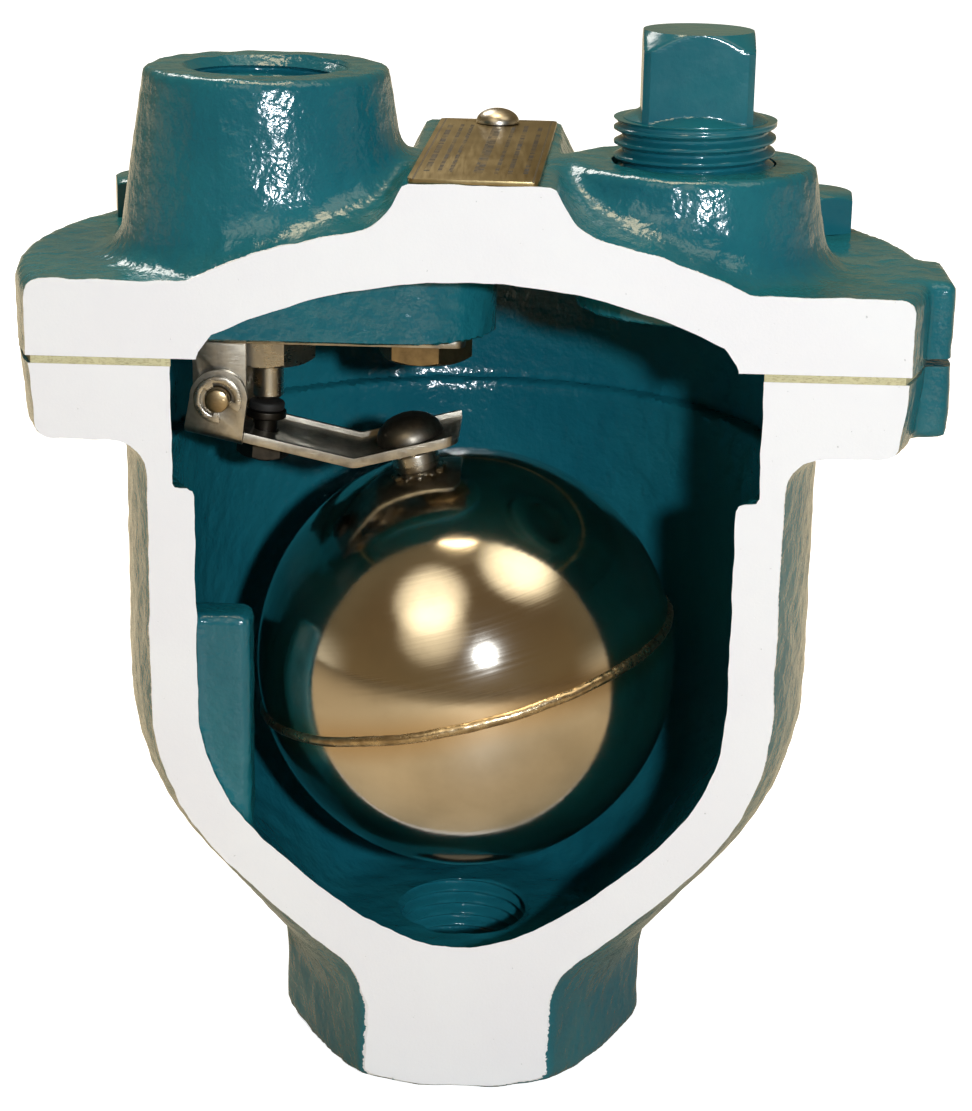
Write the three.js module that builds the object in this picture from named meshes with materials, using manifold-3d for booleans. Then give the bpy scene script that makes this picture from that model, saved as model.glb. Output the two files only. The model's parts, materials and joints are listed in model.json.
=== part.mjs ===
// Float-operated air release valve, cut open along one vertical plane to show the works.
// Millimetres, +Z up. The origin is the centre of the base of the valve's bounding box.
// Inside the valve group the valve's own axis is x = y = 0, and z = 0 is the joint face of
// the cover. The section plane lies in front of the axis, at y = -SECTION.
import * as THREE from "three";
import { mergeVertices } from "three/addons/utils/BufferGeometryUtils.js";
import Module from "manifold-3d";

const wasm = await Module();
wasm.setup();

// ---- Driving dimensions ----
const SECTION = 21.9; // distance of the section plane from the valve axis
const JOINT_HEIGHT = 101.2; // cover joint face above the underside of the inlet hexagon
const FLANGE_R = 60;
const COVER_FLANGE = 9.9;
const BODY_FLANGE = 9.8;
const GASKET = 1;
const BOLT_CIRCLE_R = 52.5;
const BOLT_R = 3.97; // 5/16 in cap screws
const BOLT_HEAD_FLATS = 12.7;
const BOLT_HEAD = 5.2;
const BOLT_LENGTH = 19.05;
const LUG_REACH = 2.3; // beyond the flange
const LUG_WIDTH = 16;
const LUG_Y = -3;

const BOWL_R = 41;
const BOWL_WALL = 5.2;
const BOWL_STRAIGHT = 46; // straight part of the bowl below the joint face
const BOWL_BEND_R = 30;
const BOWL_BEND = 39; // degrees
const BOWL_FLOOR = 83.8; // below the joint face
const BOWL_FLOOR_FILLET = 6;
const COUNTERBORE_R = 43.4;
const COUNTERBORE = 17; // below the joint face
const FLANGE_FILLET = 4.5;
const INLET_FLATS = 44.1;
const INLET_CHAMFER = 1.6;
const STOP_FACE = 27.9; // guide rib on the bowl wall, its face's distance from the axis
const STOP_TOP = 34.5;
const STOP_FRONT = 20.6;
const STOP_WIDTH = 6.4;

const DOME_TOP_R = 84; // outer dome
const DOME_TOP = 20.9;
const DOME_UNDER_R = 76; // inner dome
const DOME_UNDER = 13.95;
const DOME_MOUTH_R = 40.6;
const PORT_THREAD_R = 10.65; // 1/2 in NPT, outside of the thread
const PORT_BORE_R = 9.4; // crests of the internal thread
const INLET_BORE_R = 8.8;
const OUTLET_X = -27.5;
const OUTLET_TOP = 34.3;
const OUTLET_R = 15.9;
const OUTLET_BORE_FLOOR = 13;
const PLUG_X = 28.4;
const PLUG_BOSS_TOP = 23.1;
const PLUG_BOSS_R = 16;
const PLUG_BOSS_UNDER = 4;
const PLUG_BOSS_UNDER_R = 15;
const BOSS_DRAFT = 0.158;
const SEAT_PAD_WIDTH = 24;
const SEAT_PAD_END = 3;
const PLATE_PAD_TOP = 22.9;
const PLATE_PAD_X = 1.2;
const PLATE_PAD_WIDTH = 18.9;
const PLATE_PAD_BACK = 34;
const PLATE_PAD_DRAFT = 0.5;
const PLATE_WIDTH = 16.4;
const PLATE_LENGTH = 51.8;
const PLATE = 0.6;
const PLATE_TURN = -1.8; // degrees, the plate sits a little askew
const DRIVE_HEAD_R = 3;
const DRIVE_SHANK_R = 1.4;
const DRIVE_SHANK = 5;
const DRIVE_FROM_END = 3.6;

const PLUG_THREAD = 19;
const PLUG_SHOWN = 5.6; // thread that stands above its boss
const PLUG_TAPER = 1 / 32;
const PLUG_SQUARE = 14.3;
const PLUG_SQUARE_HEIGHT = 11.4;
const PLUG_SQUARE_CHAMFER = 1.2;
const PLUG_ANGLE = 6; // degrees

const SEAT_FLATS = 11.1;
const SEAT_HEX = 3.9;
const SEAT_THREAD_R = 4.4;
const SEAT_THREAD = 8;
const NOZZLE_R = 2.05;
const NOZZLE_END = 10; // below the joint face
const ORIFICE_R = 1.2;
const SHEET = 1; // bracket sheet
const FRAME_HALF_WIDTH = 8;
const FRAME_EAR_R = 3.5;
const FRAME_SCREW_X = -6.4;
const FRAME_SCREW_FLATS = 11.1;
const FRAME_SCREW_HEAD = 3.1;
const FRAME_SCREW_R = 3;
const FRAME_SCREW_LENGTH = 8;
const PIN_R = 1.5875; // 1/8 in
const PIN_X = -33.1;
const PIN_DROP = 8.2; // below the joint face
const CLIP_R = 3.1;
const CLIP = 0.6;
const PIN_STUB = 1; // pin beyond its clip

const LEVER_EAR_R = 3.8;
const LEVER_SHEET = 1.3;
const WEB_SLOPE = 12.3; // degrees, down from the pin side
const TIP_SLOPE = 14.5; // degrees, up to the float side
const WEB_START_X = -37.7;
const WEB_DROP = 13; // underside of the web below the joint face, where it starts
const BEND_X = -15.4;
const TIP_END_X = -1.6;
const ARM_HALF_WIDTH = 7.2;
const EAR_FOOT = 7.6; // length of the ears' foot along the web
const REST_OPENING = 4.5; // degrees that the lever hangs open from its closed position
const BUTTON_R = 2.4;
const BUTTON = 1.2;
const RETAINER_R = 2.7;
const RETAINER_HEAD = 1.1;
const RETAINER_STEM_R = 1.6;
const LOCK_NUT_FLATS = 6.4;
const LOCK_NUT = 2.2;
const STEM_PAST_NUT = 0.6;

const FLOAT_R = 28.85;
const FLOAT_WALL = 0.9;
const FLOAT_SCREW_X = -8.1;
const FLOAT_BELOW_TIP = 31.3; // float centre below the lever's underside, along the float's axis
const BEAD_WIDTH = 1.1;
const BEAD_PROUD = 0.5;
const STEM_BOSS_R = 3.2;
const STEM_BOSS_INSIDE = 4.05; // how far the threaded boss reaches into the float
const WASHER_R = 4.4;
const WASHER = 0.9;
const FLOAT_SCREW_R = 2;
const FLOAT_SCREW_HEAD_R = 4.4;
const FLOAT_SCREW_HEAD = 3.5;
const FLOAT_SCREW_SHANK = 5;

// ---- Clearances ----
const THREAD_GAP = 0.3; // radial, between a thread and its hole
const HOLE_GAP = 0.3; // radial, round a pin or a bolt
const SIDE_GAP = 0.3; // between sheets, clips and halves that lie side by side
const SEAL_GAP = 0.1; // between the closed orifice and its button
const BURIED = 3; // how far a boss reaches into the wall that it grows from
const PAST = 1; // how far a cutting solid reaches past what it cuts

// ---- Facets ----
const WIDE = 48;
const MIDDLE = 24;
const SMALL = 16;
const ARC_STEPS = 4;
const SHELL_STEPS = 7;

const degrees = THREE.MathUtils.degToRad;
const HEX_CORNER = 2 / Math.sqrt(3); // corner radius over half the width across flats

// ---- Solids ----
function solid(geometry) {
  const bare = geometry.clone();
  bare.deleteAttribute("normal");
  bare.deleteAttribute("uv");
  const merged = mergeVertices(bare, 1e-4);
  return new wasm.Manifold(
    new wasm.Mesh({
      numProp: 3,
      vertProperties: merged.attributes.position.array,
      triVerts: new Uint32Array(merged.index.array),
    }),
  );
}

// A profile of [radius, height] points turned about the Z axis. It starts and ends on the axis,
// or closes on itself, and runs upwards along its outside.
function turned(profile, segments = MIDDLE) {
  const points = profile.map(([r, z]) => new THREE.Vector2(r, z));
  return solid(new THREE.LatheGeometry(points, segments).rotateX(Math.PI / 2));
}

function ring(inner, outer, bottom, top, segments) {
  const corners = [[inner, bottom], [outer, bottom], [outer, top], [inner, top], [inner, bottom]];
  return turned(corners, segments);
}

function rod(radius, bottom, top, segments = SMALL) {
  return turned([[0, bottom], [radius, bottom], [radius, top], [0, top]], segments);
}

function block(x0, x1, y0, y1, z0, z1) {
  const box = new THREE.BoxGeometry(x1 - x0, y1 - y0, z1 - z0);
  return solid(box.translate((x0 + x1) / 2, (y0 + y1) / 2, (z0 + z1) / 2));
}

// A flat outline in XY, raised from one height to another.
function raised(shape, bottom, top, steps = ARC_STEPS) {
  const settings = { depth: top - bottom, bevelEnabled: false, curveSegments: steps };
  return solid(new THREE.ExtrudeGeometry(shape, settings).translate(0, 0, bottom));
}

// A flat outline in XZ, spread along Y from one side to the other.
function spread(shape, near, far, steps = ARC_STEPS) {
  const settings = { depth: far - near, bevelEnabled: false, curveSegments: steps };
  const geometry = new THREE.ExtrudeGeometry(shape, settings);
  return solid(geometry.rotateX(Math.PI / 2).translate(0, far, 0));
}

function outline(points) {
  return new THREE.Shape(points.map(([x, y]) => new THREE.Vector2(x, y)));
}

function hexagon(flats, bottom, top, turn = 0) {
  const corner = (flats / 2) * HEX_CORNER;
  const corners = [0, 1, 2, 3, 4, 5].map((k) => {
    const angle = degrees(60 * k + turn);
    return [corner * Math.cos(angle), corner * Math.sin(angle)];
  });
  return raised(outline(corners), bottom, top);
}

// Points along an arc in a [radius, height] profile; angles in degrees from the +radius direction.
function arc(centreR, centreZ, radius, from, to, steps = ARC_STEPS) {
  return Array.from({ length: steps + 1 }, (_, k) => {
    const angle = degrees(from + ((to - from) * k) / steps);
    return [centreR + radius * Math.cos(angle), centreZ + radius * Math.sin(angle)];
  });
}

function mesh(name, made, material) {
  const { numProp, vertProperties, triVerts } = made.getMesh();
  const positions = new Float32Array((vertProperties.length / numProp) * 3);
  for (let v = 0; v < positions.length / 3; v++) {
    positions.set(vertProperties.subarray(v * numProp, v * numProp + 3), v * 3);
  }
  const geometry = new THREE.BufferGeometry();
  geometry.setAttribute("position", new THREE.BufferAttribute(positions, 3));
  geometry.setIndex(new THREE.BufferAttribute(triVerts, 1));
  geometry.computeVertexNormals();
  const made_mesh = new THREE.Mesh(geometry, material);
  made_mesh.name = name;
  return made_mesh;
}

function finish(color, roughness, metalness) {
  return new THREE.MeshStandardMaterial({ color, roughness, metalness });
}
const enamel = () => finish(0x1f6a70, 0.3, 0);
const steel = () => finish(0xa9a49a, 0.35, 1);
const darkSteel = () => finish(0x6c675e, 0.4, 1);
const polished = () => finish(0xb8a888, 0.12, 1);
const fibre = () => finish(0xcfc39a, 0.8, 0);
const rubber = () => finish(0x1c1c1c, 0.7, 0);
const plateMetal = () => finish(0x9a8f78, 0.35, 1);

// ---- Casting: body ----
const bodyTop = -GASKET;
const bodyFlangeUnder = bodyTop - BODY_FLANGE;
const bendEnd = arc(BOWL_R - BOWL_BEND_R, -BOWL_STRAIGHT, BOWL_BEND_R, 0, -BOWL_BEND, 1)[1];
const coneSlope = Math.tan(degrees(90 - BOWL_BEND));

// Radius of the bowl's cone at a height, for the inside (wall = 0) or the outside of the wall.
function coneRadius(z, wall) {
  const outwards = degrees(-BOWL_BEND);
  const r = bendEnd[0] + wall * Math.cos(outwards);
  const height = bendEnd[1] + wall * Math.sin(outwards);
  return r - (height - z) / coneSlope;
}

function bowlOutside() {
  const floor = -BOWL_FLOOR - BOWL_WALL;
  const side = BOWL_R + BOWL_WALL;
  const filletZ = bodyFlangeUnder - FLANGE_FILLET;
  return [
    [0, floor],
    [coneRadius(floor, BOWL_WALL), floor],
    ...arc(BOWL_R - BOWL_BEND_R, -BOWL_STRAIGHT, BOWL_BEND_R + BOWL_WALL, -BOWL_BEND, 0),
    ...arc(side + FLANGE_FILLET, filletZ, FLANGE_FILLET, 180, 90, 3),
    [FLANGE_R, bodyFlangeUnder],
    [FLANGE_R, bodyTop],
    [0, bodyTop],
  ];
}

function bowlInside() {
  const floor = -BOWL_FLOOR;
  const filletZ = floor + BOWL_FLOOR_FILLET;
  const bend = BOWL_BEND_R;
  const tangent = 90 - (90 - BOWL_BEND);
  const fit = Math.tan(degrees((90 - BOWL_BEND) / 2)) * BOWL_FLOOR_FILLET;
  return [
    [0, floor],
    ...arc(coneRadius(floor, 0) - fit, filletZ, BOWL_FLOOR_FILLET, -90, -tangent, 3),
    ...arc(BOWL_R - bend, -BOWL_STRAIGHT, bend, -BOWL_BEND, 0),
    [BOWL_R, -COUNTERBORE],
    [COUNTERBORE_R, -COUNTERBORE],
    [COUNTERBORE_R, bodyTop + PAST],
    [0, bodyTop + PAST],
  ];
}

// Every second place of a six-bolt circle lies in the part that the section takes away.
const boltAngles = { right: 30, back: 90, left: 150 };

function atBolt(angle, made) {
  const x = BOLT_CIRCLE_R * Math.cos(degrees(angle));
  const y = BOLT_CIRCLE_R * Math.sin(degrees(angle));
  return made.translate([x, y, 0]);
}

function boltHoles(bottom, top) {
  const hole = rod(BOLT_R + HOLE_GAP, bottom - PAST, top + PAST, SMALL);
  return Object.values(boltAngles)
    .map((angle) => atBolt(angle, hole))
    .reduce((all, next) => all.add(next));
}

function inFront(bottom, top) {
  const wide = FLANGE_R + LUG_REACH + PAST;
  return block(-wide, wide, -wide, -SECTION, bottom - PAST, top + PAST);
}

function lug(bottom, top) {
  const half = LUG_WIDTH / 2;
  return block(FLANGE_R - BURIED * 2, FLANGE_R + LUG_REACH, LUG_Y - half, LUG_Y + half, bottom, top);
}

function inletBoss() {
  const bottom = -JOINT_HEIGHT;
  const top = -BOWL_FLOOR + BURIED;
  const corner = (INLET_FLATS / 2) * HEX_CORNER;
  const chamfer = turned([
    [0, bottom],
    [corner - 2 * INLET_CHAMFER, bottom],
    [corner, bottom + INLET_CHAMFER],
    [corner, top],
    [0, top],
  ]);
  return hexagon(INLET_FLATS, bottom, top).intersect(chamfer);
}

function guideRib() {
  const side = block(-BOWL_R, -STOP_FACE, -STOP_FRONT, STOP_WIDTH - STOP_FRONT, -BOWL_FLOOR, -STOP_TOP);
  const wallMiddle = turned([
    [0, -BOWL_FLOOR - 1],
    [coneRadius(-BOWL_FLOOR, 2), -BOWL_FLOOR - 1],
    ...arc(BOWL_R - BOWL_BEND_R, -BOWL_STRAIGHT, BOWL_BEND_R + 2, -BOWL_BEND, 0),
    [BOWL_R + 2, -STOP_TOP + PAST],
    [0, -STOP_TOP + PAST],
  ], WIDE);
  return side.intersect(wallMiddle);
}

const body = turned(bowlOutside(), WIDE)
  .add(inletBoss())
  .add(lug(bodyFlangeUnder, bodyTop))
  .subtract(turned(bowlInside(), WIDE))
  .subtract(rod(INLET_BORE_R, -JOINT_HEIGHT - PAST, -BOWL_FLOOR + PAST, MIDDLE))
  .add(guideRib())
  .subtract(boltHoles(bodyFlangeUnder, bodyTop))
  .subtract(inFront(-JOINT_HEIGHT, bodyTop));

// ---- Casting: cover ----
// Height of a dome above the joint face at a radius.
function domeHeight(top, radius, r) {
  return top - radius + Math.sqrt(radius ** 2 - r ** 2);
}

function domePoints(top, radius, from, to, steps = 6) {
  return Array.from({ length: steps + 1 }, (_, k) => {
    const r = from + ((to - from) * k) / steps;
    return [r, domeHeight(top, radius, r)];
  });
}

function coverShell() {
  const shoulder = Math.sqrt(DOME_TOP_R ** 2 - (DOME_TOP_R - DOME_TOP + COVER_FLANGE) ** 2);
  return turned([
    ...domePoints(DOME_UNDER, DOME_UNDER_R, 0, DOME_MOUTH_R - 1.2),
    [DOME_MOUTH_R, 0],
    [FLANGE_R, 0],
    [FLANGE_R, COVER_FLANGE],
    ...domePoints(DOME_TOP, DOME_TOP_R, shoulder, 0),
  ], WIDE);
}

function boss(x, top, radius, bottom) {
  return turned([
    [0, bottom],
    [radius + (top - bottom) * BOSS_DRAFT, bottom],
    [radius, top],
    [0, top],
  ]).translate([x, 0, 0]);
}

function platePad() {
  const half = PLATE_PAD_WIDTH / 2;
  const bottom = domeHeight(DOME_TOP, DOME_TOP_R, PLATE_PAD_BACK) - BURIED;
  const foot = half + (PLATE_PAD_TOP - bottom) * PLATE_PAD_DRAFT;
  const section = outline([
    [PLATE_PAD_X - foot, bottom],
    [PLATE_PAD_X + foot, bottom],
    [PLATE_PAD_X + half, PLATE_PAD_TOP],
    [PLATE_PAD_X - half, PLATE_PAD_TOP],
  ]);
  return spread(section, -SECTION - PAST, PLATE_PAD_BACK);
}

function seatPad() {
  const half = SEAT_PAD_WIDTH / 2;
  const shape = new THREE.Shape();
  shape.moveTo(-DOME_MOUTH_R, -half);
  shape.lineTo(SEAT_PAD_END - half / 2, -half);
  shape.absellipse(SEAT_PAD_END - half / 2, 0, half / 2, half, -Math.PI / 2, Math.PI / 2);
  shape.lineTo(-DOME_MOUTH_R, half);
  return raised(shape, 0, COVER_FLANGE);
}

const plugThreadTop = PLUG_BOSS_TOP + PLUG_SHOWN;
const plugThreadBottom = plugThreadTop - PLUG_THREAD;
const plugRadiusAt = (z, gap) => PORT_THREAD_R + gap - (plugThreadTop - z) * PLUG_TAPER;

function plugBore() {
  const bottom = PLUG_BOSS_UNDER - PAST;
  const top = PLUG_BOSS_TOP + PAST;
  return turned([
    [0, bottom],
    [plugRadiusAt(bottom, THREAD_GAP), bottom],
    [plugRadiusAt(top, THREAD_GAP), top],
    [0, top],
  ]).translate([PLUG_X, 0, 0]);
}

const cover = turned([[0, 0], [DOME_MOUTH_R + 1, 0], [DOME_MOUTH_R + 1, COVER_FLANGE], [0, COVER_FLANGE]], WIDE)
  .intersect(seatPad())
  .add(coverShell())
  .add(boss(OUTLET_X, OUTLET_TOP, OUTLET_R, COVER_FLANGE))
  .add(boss(PLUG_X, PLUG_BOSS_TOP, PLUG_BOSS_R, COVER_FLANGE))
  .add(rod(PLUG_BOSS_UNDER_R, PLUG_BOSS_UNDER, COVER_FLANGE + BURIED, MIDDLE).translate([PLUG_X, 0, 0]))
  .add(platePad())
  .add(lug(0, COVER_FLANGE))
  .subtract(plugBore())
  .subtract(rod(PORT_BORE_R, OUTLET_BORE_FLOOR, OUTLET_TOP + PAST, MIDDLE).translate([OUTLET_X, 0, 0]))
  .subtract(rod(SEAT_THREAD_R + THREAD_GAP, -PAST, OUTLET_BORE_FLOOR + PAST).translate([OUTLET_X, 0, 0]))
  .subtract(rod(FRAME_SCREW_R + THREAD_GAP, -PAST, FRAME_SCREW_LENGTH).translate([FRAME_SCREW_X, 0, 0]))
  .subtract(boltHoles(0, COVER_FLANGE))
  .subtract(inFront(0, OUTLET_TOP));

const gasket = ring(COUNTERBORE_R, FLANGE_R, bodyTop, 0, WIDE)
  .subtract(boltHoles(bodyTop, 0))
  .subtract(inFront(bodyTop, 0));

// ---- Fasteners and plate on the cover ----
function capScrew(turn) {
  const head = hexagon(BOLT_HEAD_FLATS, COVER_FLANGE, COVER_FLANGE + BOLT_HEAD, turn);
  return head.add(rod(BOLT_R, COVER_FLANGE - BOLT_LENGTH, COVER_FLANGE + BURIED));
}
const boltTurns = { right: 22, back: 8, left: 41 };

function pipePlug() {
  const thread = turned([
    [0, plugThreadBottom],
    [plugRadiusAt(plugThreadBottom, 0), plugThreadBottom],
    [PORT_THREAD_R, plugThreadTop],
    [0, plugThreadTop],
  ]);
  const half = PLUG_SQUARE / 2;
  const squareTop = plugThreadTop + PLUG_SQUARE_HEIGHT;
  const corner = half * Math.SQRT2;
  const rounded = turned([
    [0, plugThreadTop - BURIED],
    [corner - PLUG_SQUARE_CHAMFER / 2, plugThreadTop - BURIED],
    [corner - PLUG_SQUARE_CHAMFER / 2, squareTop - PLUG_SQUARE_CHAMFER],
    [corner - 2 * PLUG_SQUARE_CHAMFER, squareTop],
    [0, squareTop],
  ]);
  const square = block(-half, half, -half, half, plugThreadTop - BURIED, squareTop);
  return thread.add(square.intersect(rounded)).rotate([0, 0, PLUG_ANGLE]);
}

const plateMiddleY = PLATE_LENGTH / 2 - SECTION + SIDE_GAP;
const driveY = plateMiddleY + PLATE_LENGTH / 2 - DRIVE_FROM_END;
const driveX = PLATE_PAD_X - Math.tan(degrees(PLATE_TURN)) * (driveY - plateMiddleY);
const platePadHole = rod(DRIVE_SHANK_R + HOLE_GAP, PLATE_PAD_TOP - DRIVE_SHANK - PAST, PLATE_PAD_TOP + PAST)
  .translate([driveX, driveY, 0]);

const nameplate = block(
  -PLATE_WIDTH / 2, PLATE_WIDTH / 2,
  -PLATE_LENGTH / 2, PLATE_LENGTH / 2,
  PLATE_PAD_TOP, PLATE_PAD_TOP + PLATE,
)
  .rotate([0, 0, PLATE_TURN])
  .translate([PLATE_PAD_X, plateMiddleY, 0])
  .subtract(platePadHole)
  .subtract(inFront(0, OUTLET_TOP));

const plateTop = PLATE_PAD_TOP + PLATE;
const driveScrew = turned([
  [0, PLATE_PAD_TOP - DRIVE_SHANK],
  [DRIVE_SHANK_R, PLATE_PAD_TOP - DRIVE_SHANK],
  [DRIVE_SHANK_R, plateTop],
  [DRIVE_HEAD_R, plateTop],
  [DRIVE_HEAD_R * 0.8, plateTop + DRIVE_HEAD_R * 0.45],
  [0, plateTop + DRIVE_HEAD_R * 0.7],
], SMALL).translate([driveX, driveY, 0]);

// ---- Orifice, frame and pin ----
const seatHexTop = -SHEET;
const seat = hexagon(SEAT_FLATS, seatHexTop - SEAT_HEX, seatHexTop, -5)
  .add(rod(SEAT_THREAD_R, seatHexTop - PAST, SEAT_THREAD))
  .add(rod(NOZZLE_R, -NOZZLE_END, seatHexTop - PAST))
  .subtract(rod(ORIFICE_R, -NOZZLE_END - PAST, SEAT_THREAD + PAST))
  .translate([OUTLET_X, 0, 0]);

const earLeft = PIN_X - FRAME_EAR_R;
const earRight = PIN_X + FRAME_EAR_R;

function frameEar(outside) {
  const shape = new THREE.Shape();
  shape.moveTo(earLeft, 0);
  shape.lineTo(earLeft, -PIN_DROP);
  shape.absarc(PIN_X, -PIN_DROP, FRAME_EAR_R, Math.PI, 2 * Math.PI, false);
  shape.lineTo(earRight, 0);
  return spread(shape, outside, outside + SHEET);
}

function pinHole(radius) {
  const reach = FRAME_HALF_WIDTH * 2;
  return rod(radius, -reach, reach).rotate([90, 0, 0]).translate([PIN_X, 0, -PIN_DROP]);
}

const framePlateEnd = FRAME_SCREW_X + FRAME_SCREW_FLATS / 2;
const frame = block(earLeft, framePlateEnd, -FRAME_HALF_WIDTH, FRAME_HALF_WIDTH, -SHEET, 0)
  .add(frameEar(-FRAME_HALF_WIDTH))
  .add(frameEar(FRAME_HALF_WIDTH - SHEET))
  .subtract(pinHole(PIN_R + HOLE_GAP))
  .subtract(rod(SEAT_THREAD_R + HOLE_GAP, -SHEET - PAST, PAST).translate([OUTLET_X, 0, 0]))
  .subtract(rod(FRAME_SCREW_R + HOLE_GAP, -SHEET - PAST, PAST).translate([FRAME_SCREW_X, 0, 0]));

const frameScrew = hexagon(FRAME_SCREW_FLATS, -SHEET - FRAME_SCREW_HEAD, -SHEET, -11)
  .add(rod(FRAME_SCREW_R, -SHEET - PAST, FRAME_SCREW_LENGTH - SHEET))
  .translate([FRAME_SCREW_X, 0, 0]);

const leverEarInside = FRAME_HALF_WIDTH + SIDE_GAP;
const leverHalfWidth = leverEarInside + SHEET;
const clipInside = leverHalfWidth + SIDE_GAP;
const pinEnd = clipInside + CLIP + PIN_STUB;
const pin = rod(PIN_R, -pinEnd, pinEnd).rotate([90, 0, 0]).translate([PIN_X, 0, -PIN_DROP]);

function retainingClip(near) {
  const shape = new THREE.Shape();
  const mouth = degrees(35);
  const grip = PIN_R + HOLE_GAP;
  shape.absarc(0, 0, CLIP_R, mouth, 2 * Math.PI - mouth, false);
  shape.lineTo(grip * Math.cos(mouth), -grip * Math.sin(mouth));
  shape.absarc(0, 0, grip, 2 * Math.PI - mouth, mouth, true);
  const clip = spread(shape, near, near + CLIP, 12);
  return clip.rotate([0, 50, 0]).translate([PIN_X, 0, -PIN_DROP]);
}

// ---- Lever ----
const webFall = Math.tan(degrees(WEB_SLOPE));
const tipRise = Math.tan(degrees(TIP_SLOPE));
const webUnder = (x) => -WEB_DROP - (x - WEB_START_X) * webFall;
const bendZ = webUnder(BEND_X);
const tipUnder = (x) => bendZ + (x - BEND_X) * tipRise;
const webThick = LEVER_SHEET / Math.cos(degrees(WEB_SLOPE));
const tipThick = LEVER_SHEET / Math.cos(degrees(TIP_SLOPE));

function leverStrip(from, to) {
  const middle = to > BEND_X ? [[BEND_X, bendZ]] : [];
  const under = (x) => (x > BEND_X ? tipUnder(x) : webUnder(x));
  const thick = (x) => (x > BEND_X ? tipThick : webThick);
  const lower = [[from, under(from)], ...middle, [to, under(to)]];
  const upper = lower.map(([x, z]) => [x, z + thick(x)]).reverse();
  return outline([...lower, ...upper]);
}

function leverEar(near) {
  const footEnd = WEB_START_X + EAR_FOOT;
  const shape = new THREE.Shape();
  shape.moveTo(WEB_START_X, webUnder(WEB_START_X));
  shape.lineTo(footEnd, webUnder(footEnd));
  shape.lineTo(PIN_X + LEVER_EAR_R, -PIN_DROP);
  shape.absarc(PIN_X, -PIN_DROP, LEVER_EAR_R, 0, Math.PI, false);
  return spread(shape, near, near + SHEET);
}

const tipNormal = degrees(TIP_SLOPE);
const tipSeat = [FLOAT_SCREW_X, 0, tipUnder(FLOAT_SCREW_X)];

// Places a solid made about the float's own axis, with height 0 at the underside of the lever.
function onFloatAxis(made) {
  return made.rotate([0, -TIP_SLOPE, 0]).translate(tipSeat);
}

// Places a solid made under the orifice with the valve closed, and lets it hang open with the lever.
function hungOpen(made) {
  return made
    .translate([OUTLET_X - PIN_X, 0, PIN_DROP])
    .rotate([0, REST_OPENING, 0])
    .translate([PIN_X, 0, -PIN_DROP]);
}

const retainerTop = -NOZZLE_END - SEAL_GAP - BUTTON;
const openDrop = (OUTLET_X + LOCK_NUT_FLATS / 2 - PIN_X) * Math.tan(degrees(REST_OPENING));
const nutTop = webUnder(OUTLET_X + LOCK_NUT_FLATS / 2) + openDrop - SIDE_GAP;

const lever = spread(leverStrip(WEB_START_X, TIP_END_X), -ARM_HALF_WIDTH, ARM_HALF_WIDTH)
  .add(spread(leverStrip(WEB_START_X, WEB_START_X + EAR_FOOT), -leverHalfWidth, leverHalfWidth))
  .add(leverEar(-leverHalfWidth))
  .add(leverEar(leverEarInside))
  .subtract(pinHole(PIN_R + HOLE_GAP))
  .subtract(hungOpen(rod(RETAINER_STEM_R + HOLE_GAP, bendZ - PAST, -NOZZLE_END)))
  .subtract(onFloatAxis(rod(FLOAT_SCREW_R + HOLE_GAP, -PAST, LEVER_SHEET + PAST)));

const button = hungOpen(rod(BUTTON_R, retainerTop, retainerTop + BUTTON));
const retainer = hungOpen(
  rod(RETAINER_R, retainerTop - RETAINER_HEAD, retainerTop)
    .add(rod(RETAINER_STEM_R, nutTop - LOCK_NUT - STEM_PAST_NUT, retainerTop - RETAINER_HEAD / 2)),
);
const lockNut = hungOpen(
  hexagon(LOCK_NUT_FLATS, nutTop - LOCK_NUT, nutTop, 12)
    .subtract(rod(RETAINER_STEM_R + THREAD_GAP, nutTop - LOCK_NUT - PAST, nutTop + PAST)),
);

// ---- Float ----
const shellIn = FLOAT_R - FLOAT_WALL;
const rimZ = BEAD_WIDTH / 2 + SIDE_GAP;
const poleHole = STEM_BOSS_R + HOLE_GAP;

// Half of the hollow ball above its equator, with a hole at the pole unless poleR is 0.
function halfShell(poleR) {
  const angle = (r, at) => THREE.MathUtils.radToDeg(Math.asin(at / r));
  const rimOut = angle(FLOAT_R, rimZ);
  const rimIn = angle(shellIn, rimZ);
  const poleOut = 90 - angle(FLOAT_R, poleR);
  const poleIn = 90 - angle(shellIn, poleR);
  const outside = arc(0, 0, FLOAT_R, rimOut, poleOut, SHELL_STEPS);
  const inside = arc(0, 0, shellIn, poleIn, rimIn, SHELL_STEPS);
  const points = [...outside, ...inside];
  points.push(points[0]);
  return turned(points.map(([r, z]) => [Math.abs(r) < 1e-6 ? 0 : r, z]), MIDDLE);
}

const toFloatCentre = (made) => onFloatAxis(made.translate([0, 0, -FLOAT_BELOW_TIP]));
const upperHalf = toFloatCentre(halfShell(poleHole));
const lowerHalf = toFloatCentre(halfShell(0).rotate([180, 0, 0]));
const half = BEAD_WIDTH / 2;
const bead = toFloatCentre(turned([
  [shellIn, -half],
  [FLOAT_R, -half],
  [FLOAT_R + BEAD_PROUD, 0],
  [FLOAT_R, half],
  [shellIn, half],
  [shellIn, -half],
]));
const washerUnder = -WASHER - SIDE_GAP / 3;
const stemBossTop = washerUnder - SIDE_GAP / 3;
const stemBossBottom = FLOAT_R - FLOAT_BELOW_TIP - STEM_BOSS_INSIDE;
const stemBoss = onFloatAxis(
  rod(STEM_BOSS_R, stemBossBottom, stemBossTop)
    .subtract(rod(FLOAT_SCREW_R + THREAD_GAP, stemBossBottom + PAST, stemBossTop + PAST)),
);
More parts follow.
